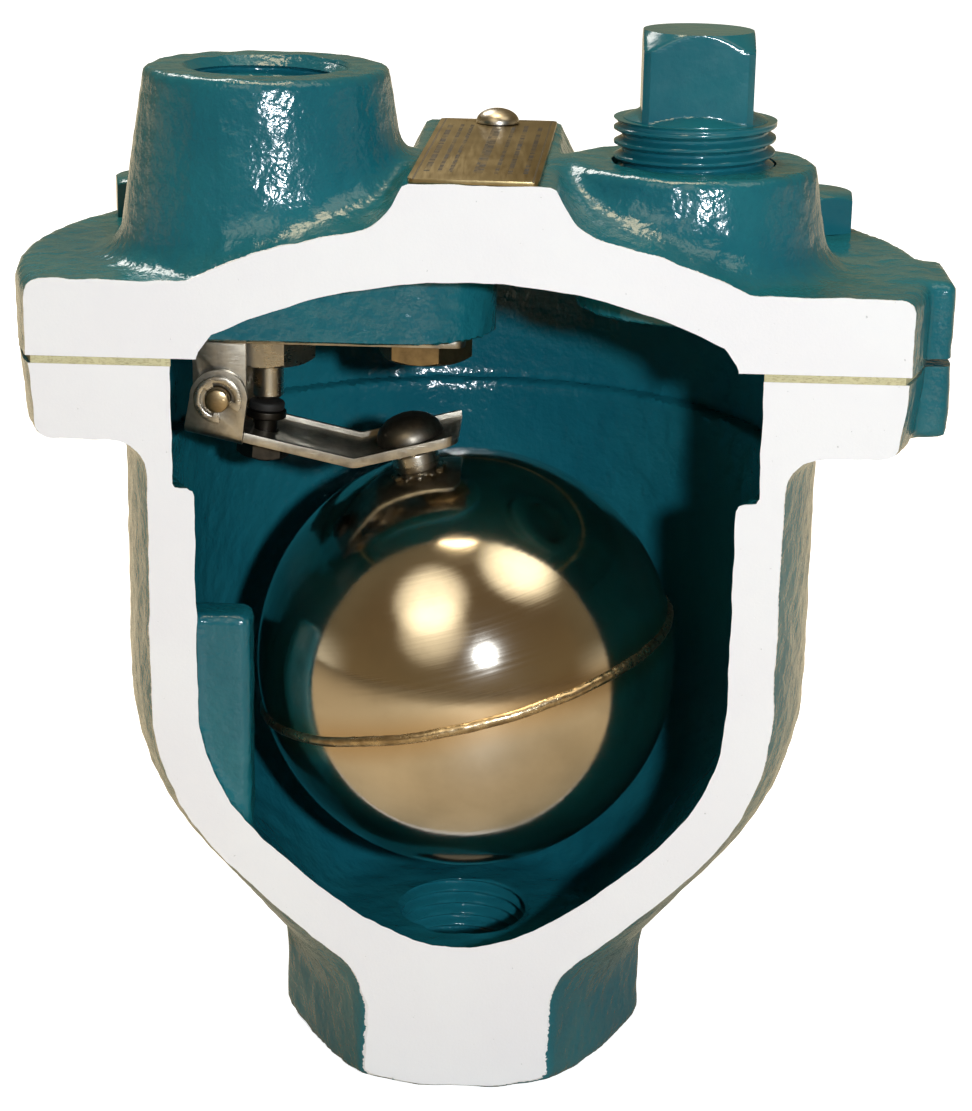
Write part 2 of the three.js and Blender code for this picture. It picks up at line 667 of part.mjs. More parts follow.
const lockWasher = onFloatAxis(
  ring(FLOAT_SCREW_R + HOLE_GAP, WASHER_R, washerUnder, washerUnder + WASHER, SMALL),
);
const screwSeat = LEVER_SHEET + SIDE_GAP / 3;
const floatScrew = onFloatAxis(turned([
  [0, screwSeat - FLOAT_SCREW_SHANK],
  [FLOAT_SCREW_R, screwSeat - FLOAT_SCREW_SHANK],
  [FLOAT_SCREW_R, screwSeat],
  [FLOAT_SCREW_HEAD_R, screwSeat],
  [FLOAT_SCREW_HEAD_R * 0.9, screwSeat + FLOAT_SCREW_HEAD * 0.5],
  [FLOAT_SCREW_HEAD_R * 0.55, screwSeat + FLOAT_SCREW_HEAD * 0.88],
  [0, screwSeat + FLOAT_SCREW_HEAD],
], SMALL));

// ---- Assembly ----
const floatCentreX = FLOAT_SCREW_X + FLOAT_BELOW_TIP * Math.sin(tipNormal);
const floatFront = FLOAT_R + BEAD_PROUD;
const valve = new THREE.Group();
valve.position.set(-LUG_REACH / 2, -(FLANGE_R - floatFront) / 2, JOINT_HEIGHT);

valve.add(
  mesh("body", body, enamel()),
  mesh("cover", cover.subtract(platePadHole), enamel()),
  mesh("cover_gasket", gasket, fibre()),
);
for (const [side, angle] of Object.entries(boltAngles)) {
  valve.add(mesh("cover_bolt_" + side, atBolt(angle, capScrew(boltTurns[side])), enamel()));
}
valve.add(
  mesh("pipe_plug", pipePlug().translate([PLUG_X, 0, 0]), enamel()),
  mesh("nameplate", nameplate, plateMetal()),
  mesh("nameplate_drive_screw", driveScrew, steel()),
  mesh("valve_seat", seat, steel()),
  mesh("lever_frame", frame, steel()),
  mesh("frame_screw", frameScrew, darkSteel()),
  mesh("pivot_pin", pin, steel()),
  mesh("pivot_clip_front", retainingClip(-clipInside - CLIP), steel()),
  mesh("pivot_clip_back", retainingClip(clipInside), steel()),
  mesh("lever_arm", lever, steel()),
  mesh("orifice_button", button, rubber()),
  mesh("button_retainer", retainer, darkSteel()),
  mesh("button_lock_nut", lockNut, darkSteel()),
  mesh("float_screw", floatScrew, steel()),
  mesh("float_lock_washer", lockWasher, darkSteel()),
  mesh("float_stem_boss", stemBoss, darkSteel()),
  mesh("float_upper_half", upperHalf, polished()),
  mesh("float_lower_half", lowerHalf, polished()),
  mesh("float_weld_bead", bead, polished()),
);

export default valve;
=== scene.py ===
# %% [markdown]
# # An air release valve, cut open
# This lesson builds a cutaway float valve of the kind that lets air out of a water main. Two
# iron castings in glossy enamel hold a polished steel float on a small lever. The whole valve
# has been sawn along one upright plane and the sawn faces are painted white, so that a
# customer can see the works. The CAD model gives every place and size. Here each piece gets
# the shape and the finish that a solid for collision doesn't have.

import json
import math

import bpy
import bmesh
import numpy as np
from mathutils import Matrix, Vector

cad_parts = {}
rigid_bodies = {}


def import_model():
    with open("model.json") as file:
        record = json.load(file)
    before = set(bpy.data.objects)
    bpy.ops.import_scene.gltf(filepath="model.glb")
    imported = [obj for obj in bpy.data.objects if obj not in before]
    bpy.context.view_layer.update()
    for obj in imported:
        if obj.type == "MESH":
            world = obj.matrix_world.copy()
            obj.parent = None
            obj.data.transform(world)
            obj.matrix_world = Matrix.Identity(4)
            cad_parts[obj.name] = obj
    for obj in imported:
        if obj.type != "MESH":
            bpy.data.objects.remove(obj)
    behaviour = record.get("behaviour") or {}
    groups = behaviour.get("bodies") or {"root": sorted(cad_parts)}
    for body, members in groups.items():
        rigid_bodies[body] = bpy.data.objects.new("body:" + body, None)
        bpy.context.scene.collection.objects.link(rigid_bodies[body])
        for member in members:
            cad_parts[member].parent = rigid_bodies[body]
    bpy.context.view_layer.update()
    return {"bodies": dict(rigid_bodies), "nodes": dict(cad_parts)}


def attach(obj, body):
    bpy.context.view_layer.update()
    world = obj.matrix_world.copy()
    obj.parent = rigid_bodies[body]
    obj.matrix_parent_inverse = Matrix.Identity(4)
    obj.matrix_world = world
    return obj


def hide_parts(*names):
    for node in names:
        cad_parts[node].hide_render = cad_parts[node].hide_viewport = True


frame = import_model()
print("bodies", list(frame["bodies"]), "nodes", len(frame["nodes"]))

# %% [markdown]
# ## Millimetres about the valve's own axis
# Valve makers give sizes in millimetres from the joint face between body and cover, so the
# shapes below are made in that way, with z = 0 on the cover's joint face. One step at the end
# of each piece turns them into metres in the frame of the CAD model.

# %% Sizes of the valve
SECTION = 21.9  # the sawn plane, in front of the axis
JOINT_HEIGHT = 101.2
FLANGE_R = 60.0
LUG_REACH = 2.3
FLOAT_R = 28.85
BEAD_PROUD = 0.5
SHIFT = np.array((-LUG_REACH / 2, -(FLANGE_R - FLOAT_R - BEAD_PROUD) / 2, JOINT_HEIGHT))
PER_METRE = 1000.0
print("valve axis at", SHIFT[:2], "mm")

# %% [markdown]
# ## Camera
# The view is the one a person has who holds a camera 40 centimetres in front of the valve and
# looks down by 17 degrees. A lens of 89 mm keeps the flanges nearly parallel. Three directions
# of the camera's own give its turn: its right, its up and the way back from what it sees.

# %% Camera
CAMERA_PLACE = (0.01205, -0.37440, 0.18195)
CAMERA_RIGHT = (0.99918, 0.03621, 0.01815)
CAMERA_UP = (-0.02813, 0.29795, 0.95417)
CAMERA_BACK = (0.02914, -0.95390, 0.29872)
scene = bpy.context.scene
camera = bpy.data.objects.new("camera", bpy.data.cameras.new("camera"))
scene.collection.objects.link(camera)
camera.data.sensor_width = 36
camera.data.lens = 89.11
camera.data.clip_start = 0.01
turn = Matrix((CAMERA_RIGHT, CAMERA_UP, CAMERA_BACK)).transposed()
camera.matrix_world = Matrix.Translation(CAMERA_PLACE) @ turn.to_4x4()
scene.camera = camera
scene.view_settings.view_transform = "Standard"
print("camera at", tuple(round(v, 3) for v in camera.location))


# %% [markdown]
# ## Writing shader maths as sums
# A shader graph is easier to read as a formula than as boxes and wires. A small class wraps an
# output socket and answers to +, -, * and /, and each of those adds one Math node. Every other
# node comes from one method, which takes the node's kind, its settings and what its sockets
# hold or are linked to. The same two classes also write the Geometry Nodes trees.

# %% Two small classes for node trees
class Link:
    """An output socket that can be added, multiplied and compared as a number is."""

    def __init__(self, graph, node, output=0):
        self.graph, self.node = graph, node
        self.socket = node.outputs[output] if node.outputs else None

    def __getitem__(self, output):
        return Link(self.graph, self.node, output)

    def maths(self, operation, *others):
        return self.graph.maths(operation, self, *others)

    def __add__(self, other):
        return self.maths("ADD", other)

    __radd__ = __add__

    def __sub__(self, other):
        return self.maths("SUBTRACT", other)

    def __rsub__(self, other):
        return self.graph.maths("SUBTRACT", other, self)

    def __mul__(self, other):
        return self.maths("MULTIPLY", other)

    __rmul__ = __mul__

    def __truediv__(self, other):
        return self.maths("DIVIDE", other)

    def __rtruediv__(self, other):
        return self.graph.maths("DIVIDE", other, self)

    def __abs__(self):
        return self.maths("ABSOLUTE")

    def below(self, limit):
        """1 where this is less than the limit, otherwise 0."""
        return self.maths("LESS_THAN", limit)

    def clamp(self, low=0.0, high=1.0):
        return self.maths("MAXIMUM", low).maths("MINIMUM", high)

    def rise(self, start, end):
        """0 before start, 1 after end, and smooth between."""
        values = {"Value": self, "From Min": start, "From Max": end}
        return self.graph.node("ShaderNodeMapRange", {"interpolation_type": "SMOOTHSTEP"}, values)


class Graph:
    """A node tree with one method that makes any node."""

    def __init__(self, tree):
        self.tree = tree

    def node(self, kind, settings=None, sockets=None, output=0):
        made = self.tree.nodes.new(kind)
        for name, value in (settings or {}).items():
            setattr(made, name, value)
        for name, value in (sockets or {}).items():
            if isinstance(value, Link):
                self.tree.links.new(value.socket, made.inputs[name])
            else:
                made.inputs[name].default_value = value
        return Link(self, made, output)

    def maths(self, operation, *terms):
        sockets = dict(enumerate(terms))
        return self.node("ShaderNodeMath", {"operation": operation}, sockets)

    def axes(self, vector):
        """The x, y and z of a vector."""
        parts = self.node("ShaderNodeSeparateXYZ", {}, {0: vector})
        return parts[0], parts[1], parts[2]

    def point(self, x, y, z=0.0):
        return self.node("ShaderNodeCombineXYZ", {}, {0: x, 1: y, 2: z})

    def mix(self, factor, a, b):
        """A colour between a and b."""
        sockets = {0: factor, 6: a, 7: b}
        return self.node("ShaderNodeMix", {"data_type": "RGBA"}, sockets, output=2)

    def scaled(self, vector, scale):
        sockets = {"Vector": vector, "Scale": scale}
        return self.node("ShaderNodeVectorMath", {"operation": "SCALE"}, sockets)

    def vector(self, operation, *terms, output=0):
        sockets = dict(enumerate(terms))
        return self.node("ShaderNodeVectorMath", {"operation": operation}, sockets, output)


def colour(red, green, blue):
    """Linear colour from the numbers 0 to 255 that a colour picker shows."""
    def linear(v):
        v /= 255
        return v / 12.92 if v <= 0.04045 else ((v + 0.055) / 1.055) ** 2.4
    return (linear(red), linear(green), linear(blue), 1.0)


print("dark teal is", [round(v, 3) for v in colour(16, 60, 68)])


# %% [markdown]
# ## What every finish starts from
# Each finish gets a Principled shader and its Object coordinates in millimetres, so a grain
# that is one millimetre on the real casting is written as 1. Heights for bump are in
# millimetres too, which keeps the relief true to size.

# %% Start of a finish
class Finish(Graph):
    """A material with a Principled shader, and helpers for patterns in millimetres."""

    def __init__(self, name, **constants):
        self.material = bpy.data.materials.new(name)
        self.material.use_nodes = True
        super().__init__(self.material.node_tree)
        self.shader = self.tree.nodes["Principled BSDF"]
        for socket, value in constants.items():
            self.shader.inputs[socket.replace("_", " ")].default_value = value
        place = self.node("ShaderNodeTexCoord", output="Object")
        self.mm = self.scaled(place, PER_METRE)
        self.x, self.y, self.z = (v - float(s) for v, s in zip(self.axes(self.mm), SHIFT))

    def noise(self, size, detail=2.0, roughness=0.5, stretch=None, distortion=0.0):
        """Noise from 0 to 1 whose features are about size millimetres."""
        where = self.mm
        if stretch:
            where = self.vector("MULTIPLY", where, stretch)
        sockets = {"Vector": where, "Scale": 1 / size, "Detail": detail}
        sockets.update({"Roughness": roughness, "Distortion": distortion})
        return self.node("ShaderNodeTexNoise", {}, sockets)

    def set(self, **links):
        for socket, link in links.items():
            target = self.shader.inputs[socket.replace("_", " ")]
            self.tree.links.new(link.socket, target)

    def relief(self, height, strength=1.0):
        """Bump from a height in millimetres."""
        sockets = {"Height": height, "Distance": 1 / PER_METRE, "Strength": strength}
        self.set(Normal=self.node("ShaderNodeBump", {}, sockets))


# %% [markdown]
# ## Enamel on cast iron
# The castings were dipped or sprayed with a thick glossy blue-green enamel. The sand mould's
# grain shows through it as a soft orange peel of about a millimetre, with finer pits between.
# The flash picks out each little slope, so the relief matters more than the colour does. The
# colour drifts a little from place to place. White paint from the sawn face has strayed over
# the edge by a fraction of a millimetre, in a ragged line.

# %% Enamel
TEAL = colour(26, 104, 116)
TEAL_DEEP = colour(14, 88, 104)
PAINT_WHITE = colour(240, 242, 246)


def enamel(name, grain=0.15, stray=True):
    made = Finish(name, IOR=1.52)
    drift = made.noise(18, 3).rise(0.35, 0.65)
    specks = made.noise(2.2, 4, 0.65).rise(0.55, 0.75) * 0.35
    paint = made.mix((drift * 0.6 + specks).clamp(), TEAL, TEAL_DEEP)
    if stray:
        reach = made.noise(0.9, 4, 0.65) * 0.75 - 0.2
        near = (made.y + SECTION).below(reach)
        paint = made.mix(near, paint, PAINT_WHITE)
    made.set(Base_Color=paint, Roughness=made.noise(3.1, 3) * 0.16 + 0.1)
    peel = made.noise(1.7, 2, 0.45) * grain * 1.3 + made.noise(0.75, 2, 0.5) * grain * 0.6
    made.relief(peel + made.noise(7, 1) * grain * 1.2)
    return made.material


casting_enamel = enamel("casting_enamel")
fastener_enamel = enamel("fastener_enamel", grain=0.035, stray=False)
print("enamels:", casting_enamel.name, fastener_enamel.name)

# %% [markdown]
# ## White paint on the sawn faces
# The saw left the iron flat and the white paint on it is even and nearly matt. It still has
# a very fine tooth, a faint bluish cloud here and there, and a few tiny dark pores where
# graphite in the iron broke out.

# %% Section paint
def section_paint():
    made = Finish("section_paint", IOR=1.45)
    cloud = made.noise(14, 3).rise(0.3, 0.7)
    pores = made.noise(0.55, 2, 0.6).rise(0.74, 0.79)
    white = made.mix(cloud, PAINT_WHITE, colour(238, 239, 244))
    made.set(Base_Color=made.mix(pores * 0.35, white, colour(120, 128, 132)))
    made.set(Roughness=made.noise(0.8) * 0.2 + 0.5)
    made.relief(made.noise(0.35, 3, 0.6) * 0.02 - pores * 0.05)
    return made.material


sawn_white = section_paint()
print("paint:", sawn_white.name)


# %% [markdown]
# ## Distances instead of drawings
# A casting is all soft corners: where a boss grows out of a dome the pattern maker leaves a
# fillet. Booleans give hard creases there. A signed distance field gives fillets for free,
# because two distances can be blended with a smooth minimum. So the castings are written as
# distance functions, sampled on a grid, and turned into a mesh by surface nets: one vertex in
# each grid cell that the surface crosses, and one face round each grid edge that it crosses.

# %% Distance helpers
def corner_round(corners, steps=5):
    """Profile points from (radius, height) corners, rounded where a corner has a third number."""
    made = []
    count = len(corners)
    for k in range(count):
        before, here, after = (np.array(corners[(k + d) % count][:2]) for d in (-1, 0, 1))
        if len(corners[k]) == 2:
            made.append(tuple(here))
            continue
        size = corners[k][2]
        to_before = (before - here) / np.linalg.norm(before - here)
        to_after = (after - here) / np.linalg.norm(after - here)
        half = math.acos(np.clip(to_before @ to_after, -1, 1)) / 2
        reach = size / math.tan(half)
        bisector = (to_before + to_after) / np.linalg.norm(to_before + to_after)
        centre = here + bisector * size / math.sin(half)
        start, end = here + to_before * reach - centre, here + to_after * reach - centre
        swing = math.pi - 2 * half
        for s in range(steps + 1):
            a, b = math.sin(swing * (1 - s / steps)), math.sin(swing * s / steps)
            made.append(tuple(centre + (start * a + end * b) / math.sin(swing)))
    return made


def to_axis(*corners, axis=-9):
    """A rounded profile whose two ends are joined level to the axis, or from beyond it."""
    return corner_round([(axis, corners[0][1]), *corners, (axis, corners[-1][1])])


def profile_distance(r, z, points):
    """Signed distance to a closed flat outline, negative inside."""
    nearest = np.full(r.shape, 1e9, r.dtype)
    inside = np.zeros(r.shape, bool)
    for (ar, az), (br, bz) in zip(points, points[1:] + points[:1]):
        er, ez = br - ar, bz - az
        wr, wz = r - ar, z - az
        along = np.clip((wr * er + wz * ez) / (er * er + ez * ez), 0, 1)
        nearest = np.minimum(nearest, (wr - er * along) ** 2 + (wz - ez * along) ** 2)
        if ez:
            inside ^= ((az <= z) != (bz <= z)) & (wr < er / ez * wz)
    return np.where(inside, -1, 1) * np.sqrt(nearest)


def join(a, b, soft):
    """Union of two distances with a fillet of about that size."""
    h = np.clip(0.5 + 0.5 * (b - a) / soft, 0, 1)
    return b * (1 - h) + a * h - soft * h * (1 - h)


def cut(a, b, soft):
    return -join(-a, b, soft)


def box_distance(x, y, z, low, high, rounding):
    low, high = np.array(low, float), np.array(high, float)
    middle, half = (low + high) / 2, (high - low) / 2 - rounding
    q = [np.abs(p - m) - h for p, m, h in zip((x, y, z), middle, half)]
    outside = np.sqrt(sum(np.maximum(v, 0) ** 2 for v in q))
    return outside + np.minimum(np.maximum(np.maximum(q[0], q[1]), q[2]), 0) - rounding


# %% Surface nets
def surface_nets(values, origin, step):
    """Vertices and quads of the surface where sampled distances change sign."""
    inside = values < 0
    nx, ny, nz = inside.shape
    count = np.zeros((nx - 1, ny - 1, nz - 1), np.int8)
    for a in (0, 1):
        for b in (0, 1):
            for c in (0, 1):
                count += inside[a:nx - 1 + a, b:ny - 1 + b, c:nz - 1 + c]
    active = (count > 0) & (count < 8)
    index = np.full(active.shape, -1, np.int64)
    index[active] = np.arange(active.sum())
    cells = np.argwhere(active)
    total, hits = np.zeros((len(cells), 3)), np.zeros(len(cells))
    quads = []
    for axis in range(3):
        u, v = (axis + 1) % 3, (axis + 2) % 3
        for du, dv in ((0, 0), (0, 1), (1, 0), (1, 1)):
            start = cells.copy()
            start[:, u] += du
            start[:, v] += dv
            end = start.copy()
            end[:, axis] += 1
            va, vb = values[tuple(start.T)], values[tuple(end.T)]
            crossed = (va < 0) != (vb < 0)
            point = start.astype(float)
            point[:, axis] += np.where(crossed, va / np.where(crossed, va - vb, 1), 0)
            total[crossed] += point[crossed]
            hits[crossed] += 1
        low, high = [slice(None)] * 3, [slice(None)] * 3
        low[axis], high[axis] = slice(0, -1), slice(1, None)
        edges = np.argwhere(inside[tuple(low)] != inside[tuple(high)])
        ring = []
        for du, dv in ((0, 0), (-1, 0), (-1, -1), (0, -1)):
            cell = edges.copy()
            cell[:, u] += du
            cell[:, v] += dv
            ring.append(index[tuple(cell.T)])
        quad = np.stack(ring, 1)
        outward = inside[tuple(edges.T)]
        quads.append(np.where(outward[:, None], quad, quad[:, ::-1]))
    return origin + step * total / hits[:, None], np.concatenate(quads)


def settle(points, field, probe=0.02):
    """Moves vertices onto the surface along the slope of the field."""
    for _ in range(2):
        here = field(*points.T)
        slope = np.stack([
            field(*(points + step).T) - field(*(points - step).T) for step in np.eye(3) * probe
        ]) / (2 * probe)
        points = points - (here / np.maximum((slope ** 2).sum(0), 0.3) * slope).T
    return points


SPARE = 1.4  # iron left in front of the section plane, for the saw to take off


def sculpt(field, low, high, step):
    """Mesh of a distance field between two corners."""
    axes = [np.arange(a, b + step, step, dtype=np.float32) for a, b in zip(low, high)]
    x, y, z = np.meshgrid(*axes, indexing="ij")

    def kept(x, y, z):
        return np.maximum(field(x, y, z), -SECTION - SPARE - y)

    points, quads = surface_nets(kept(x, y, z), np.array(low, float), step)
    return settle(points, kept), quads


print("one rounded corner has", len(corner_round([(0, 0, 2), (9, 0), (0, 9)])) - 2, "points")


# %% [markdown]
# ## From millimetres to a piece
# One helper makes the mesh object and keeps it at the origin, unturned. Corners sharper than
# an angle keep their edge in the shading and the rest is smooth. A second helper runs a
# Boolean and takes the result as a plain mesh. The last one says which body a piece moves
# with, and hides the CAD node that it stands for.

# %% Mesh helpers
def face_outwards(mesh):
    """Merges doubled points and turns every face outwards."""
    work = bmesh.new()
    work.from_mesh(mesh)
    bmesh.ops.remove_doubles(work, verts=work.verts, dist=2e-6)
    bmesh.ops.recalc_face_normals(work, faces=work.faces)
    work.to_mesh(mesh)
    work.free()


MACHINED_SHARP, CAST_SHARP = 32, 40  # degrees, the corners that stay hard in the shading


def shade(mesh, sharp):
    mesh.shade_smooth()
    mesh.set_sharp_from_angle(angle=math.radians(sharp))


def mesh_object(name, points, faces, *materials, sharp=MACHINED_SHARP, outwards=True):
    mesh = bpy.data.meshes.new(name)
    placed = (np.asarray(points, float) + SHIFT) / PER_METRE
    mesh.from_pydata(placed.tolist(), [], [list(map(int, f)) for f in faces])
    mesh.validate()
    if outwards:
        face_outwards(mesh)
    for material in materials:
        mesh.materials.append(material)
    shade(mesh, sharp)
    obj = bpy.data.objects.new(name, mesh)
    scene.collection.objects.link(obj)
    return obj


def settle_modifiers(obj, sharp):
    """Replaces the object's mesh by what its modifiers make, and removes them."""
    depsgraph = bpy.context.evaluated_depsgraph_get()
    mesh = bpy.data.meshes.new_from_object(obj.evaluated_get(depsgraph))
    obj.modifiers.clear()
    old, obj.data = obj.data, mesh
    bpy.data.meshes.remove(old)
    shade(mesh, sharp)
    return obj


def boolean(obj, made, operation="DIFFERENCE", sharp=MACHINED_SHARP):
    """Cuts a shape from the object, or joins it on. The shape is points and faces, or a piece."""
    tool = made if isinstance(made, bpy.types.Object) else mesh_object("tool", *made)
    finishes = list(obj.data.materials)
    step = obj.modifiers.new("boolean", "BOOLEAN")
    step.operation, step.solver, step.object = operation, "MANIFOLD", tool
    settle_modifiers(obj, sharp)
    bpy.data.objects.remove(tool)
    for face in obj.data.polygons:
        if face.material_index >= len(finishes):
            face.material_index = 0
    obj.data.materials.clear()
    for finish in finishes:
        obj.data.materials.append(finish)
    return obj


def triangles(obj):
    return sum(len(p.vertices) - 2 for p in obj.data.polygons)


def lathe(profile, segments=96):
    """Points and faces of a profile of (radius, height) turned about the z axis."""
    points, faces, rings = [], [], []
    for r, z in profile:
        if abs(r) < 1e-6:
            rings.append([len(points)] * segments)
            points.append((0, 0, z))
            continue
        rings.append(list(range(len(points), len(points) + segments)))
        turns = np.arange(segments) * 2 * math.pi / segments
        points += [(r * math.cos(a), r * math.sin(a), z) for a in turns]
    closed = rings if abs(profile[0][0]) < 1e-6 else rings + rings[:1]
    for low, high in zip(closed, closed[1:]):
        for k in range(segments):
            n = (k + 1) % segments
            corners = list(dict.fromkeys((low[k], low[n], high[n], high[k])))
            if len(corners) > 2:
                faces.append(corners)
    return np.array(points, float), faces


def block(low, high):
    x, y, z = zip(low, high)
    points = [(a, b, c) for a in x for b in y for c in z]
    faces = [(0, 1, 3, 2), (4, 6, 7, 5), (0, 4, 5, 1), (2, 3, 7, 6), (0, 2, 6, 4), (1, 5, 7, 3)]
    return np.array(points, float), faces


def moved(made, offset=(0, 0, 0), turn=0.0, axis="Z"):
    """Turns a shape about an axis, then moves it."""
    points, faces = made
    spin = np.array(Matrix.Rotation(math.radians(turn), 3, axis))
    return points @ spin.T + np.array(offset, float), faces


def rod(radius, low, high, segments=48):
    return lathe([(0, low), (radius, low), (radius, high), (0, high)], segments)


def tie(obj, rides_on, node):
    """Says which body moves the piece, and hides the CAD node that it shows."""
    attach(obj, rides_on)
    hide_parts(node)
    print(obj.name, triangles(obj), "triangles")


print("a rod has", len(rod(3, 0, 1)[1]), "faces")

# %% [markdown]
# ## Threads with Geometry Nodes
# The cap screws, the plug and both ports have a screw thread. A thread repeats one profile
# along a helix, so one tree makes them all: it starts from a cylinder with many rows, works
# out for each point how far it is round the helix, and moves it in by a V-shaped amount. Its
# named inputs are the radius over the crests, the length, the pitch, the depth, the taper and
# the number of turns of runout.

# %% Thread tree
def new_tree(name, **inputs):
    """A Geometry Nodes tree with named inputs, which are whole numbers where the value is."""
    tree = bpy.data.node_groups.new(name, "GeometryNodeTree")
    for label, value in {**inputs, "Finish": None}.items():
        kind = {int: "Int", float: "Float"}.get(type(value), "Material")
        socket = tree.interface.new_socket(
            label.replace("_", " "), in_out="INPUT", socket_type="NodeSocket" + kind)
        if value is not None:
            socket.default_value = value
    tree.interface.new_socket("Geometry", in_out="OUTPUT", socket_type="NodeSocketGeometry")
    g = Graph(tree)
    return g, g.node("NodeGroupInput")


def end_tree(g, size, geometry, **moves):
    """Moves the points, makes the geometry real and gives it the finish."""
    made = g.node("GeometryNodeSetPosition", {}, {"Geometry": geometry, **moves})
    made = g.node("GeometryNodeRealizeInstances", {}, {0: made})
    sockets = {"Geometry": made, "Material": size["Finish"]}
    g.node("NodeGroupOutput", {}, {0: g.node("GeometryNodeSetMaterial", {}, sockets)})
    return g.tree


def cylinder(g, sides, rows, radius, depth):
    return g.node("GeometryNodeMeshCylinder", {"fill_type": "TRIANGLE_FAN"}, {
        "Vertices": sides, "Side Segments": rows, "Radius": radius, "Depth": depth})


def thread_tree():
    g, size = new_tree(
        "screw_thread", Radius=10.65, Length=19.0, Pitch=1.814, Depth=1.1, Taper=0.03125,
        Runout=0.6, Crest=0.16, Rows=120, Sides=72)
    bar = cylinder(g, size["Sides"], size["Rows"], size["Radius"], size["Length"])
    x, y, z = g.axes(g.node("GeometryNodeInputPosition"))
    angle = y.maths("ARCTAN2", x) / (2 * math.pi)
    phase = (z / size["Pitch"] - angle).maths("FRACT")
    crest = size["Crest"]
    groove = ((1 - abs(phase - 0.5) * 2 - crest) / (1 - 2 * crest)).clamp()
    end = size["Length"] / 2
    fade = (end - abs(z)) / size["Runout"]
    depth = size["Depth"] * groove * fade.clamp()
    narrow = (end - z) * size["Taper"]
    radius = (x * x + y * y).maths("SQRT")
    share = (size["Radius"] - depth - narrow) / size["Radius"]
    on_side = radius.maths("GREATER_THAN", 0.01)
    return end_tree(g, size, bar, Selection=on_side, Position=g.point(x * share, y * share, z))


screw_thread = thread_tree()


def run_tree(tree, name, finish, **inputs):
    """Points and faces in millimetres of what a tree makes."""
    empty = bpy.data.objects.new(name, bpy.data.meshes.new(name))
    scene.collection.objects.link(empty)
    step = empty.modifiers.new("nodes", "NODES")
    step.node_group = tree
    keys = {s.name: s.identifier for s in tree.interface.items_tree if s.in_out == "INPUT"}
    for label, value in {**inputs, "Finish": finish}.items():
        step[keys[label.replace("_", " ")]] = value
    depsgraph = bpy.context.evaluated_depsgraph_get()
    mesh = bpy.data.meshes.new_from_object(empty.evaluated_get(depsgraph))
    points = np.array([v.co[:] for v in mesh.vertices])
    faces = [tuple(p.vertices) for p in mesh.polygons]
    bpy.data.objects.remove(empty)
    bpy.data.meshes.remove(mesh)
    return points, faces


trial = run_tree(screw_thread, "trial", casting_enamel)
print("a pipe thread has", len(trial[1]), "faces")

# %% [markdown]
# ## The body casting
# The lower casting is a round bowl under a flange, with a hexagon at the foot for a wrench. Its
# outside and its inside are turned profiles, the hexagon blends into the bowl with a fillet,
# and a guide rib grows from the left wall. The flange leans in by a millimetre towards its
# underside, the draft that lets a casting leave its sand.

# %% Body distances
GASKET = 1.0
BODY_FLANGE = 9.8
BOWL_R, BOWL_WALL, BOWL_STRAIGHT = 41.0, 5.2, 46.0
BOWL_BEND_R, BOWL_BEND, BOWL_FLOOR = 30.0, 39.0, 83.8
COUNTERBORE_R, COUNTERBORE = 43.4, 17.0
INLET_FLATS = 44.1
HEX = 2 / math.sqrt(3)
BEYOND = 3.0  # how far a shape runs on past a plane that will cut it
NO_TOUCH = 0.02  # the gap left between pieces that rest on one another
AROUND = 80  # a cutting block reaches this far from the axis, outside everything


def arc(r, z, radius, start, end, steps=8):
    turns = np.radians(np.linspace(start, end, steps + 1))
    return [(r + radius * math.cos(a), z + radius * math.sin(a)) for a in turns]


bend_centre = BOWL_R - BOWL_BEND_R
cone_fall = math.tan(math.radians(90 - BOWL_BEND))


def cone_radius(z, wall):
    out = math.radians(-BOWL_BEND)
    r = bend_centre + (BOWL_BEND_R + wall) * math.cos(out)
    return r - (-BOWL_STRAIGHT + (BOWL_BEND_R + wall) * math.sin(out) - z) / cone_fall


flange_under = -GASKET - BODY_FLANGE
bowl_outside = to_axis(
    (cone_radius(-BOWL_FLOOR - BOWL_WALL, BOWL_WALL), -BOWL_FLOOR - BOWL_WALL),
    *arc(bend_centre, -BOWL_STRAIGHT, BOWL_BEND_R + BOWL_WALL, -BOWL_BEND, 0),
    (BOWL_R + BOWL_WALL, flange_under, 4.5), (FLANGE_R - 1.1, flange_under, 1.6),
    (FLANGE_R - 0.2, -GASKET - 0.01), (FLANGE_R - 0.2, BEYOND))
bowl_inside = to_axis(
    (cone_radius(-BOWL_FLOOR, 0), -BOWL_FLOOR, 6),
    *arc(bend_centre, -BOWL_STRAIGHT, BOWL_BEND_R, -BOWL_BEND, 0),
    (BOWL_R, -COUNTERBORE, 0.9), (COUNTERBORE_R, -COUNTERBORE, 0.6), (COUNTERBORE_R, 2 * BEYOND))
STOP_FACE, STOP_TOP, STOP_FRONT, STOP_WIDTH = 27.9, 34.5, 20.6, 6.4
LUG_MIDDLE, LUG_HALF = -3, 8


def hexagon_distance(x, y, flats):
    a, b, c = (
        np.abs(x * math.cos(a) + y * math.sin(a)) - flats / 2 for a in np.radians((30, 90, 150)))
    return cut(cut(a, -b, 1.2), -c, 1.2)


hexagon_corner = INLET_FLATS / 2 * HEX + 0.4
inlet_turned = to_axis(
    (hexagon_corner - 3.8, -JOINT_HEIGHT, 0.5), (hexagon_corner, -JOINT_HEIGHT + 1.9, 0.5),
    (hexagon_corner, -BOWL_FLOOR + 3))
cheek = to_axis(
    (cone_radius(-BOWL_FLOOR, 2), -BOWL_FLOOR - 1),
    *arc(bend_centre, -BOWL_STRAIGHT, BOWL_BEND_R + 2, -BOWL_BEND, 0), (BOWL_R + 2, -STOP_TOP + 2))


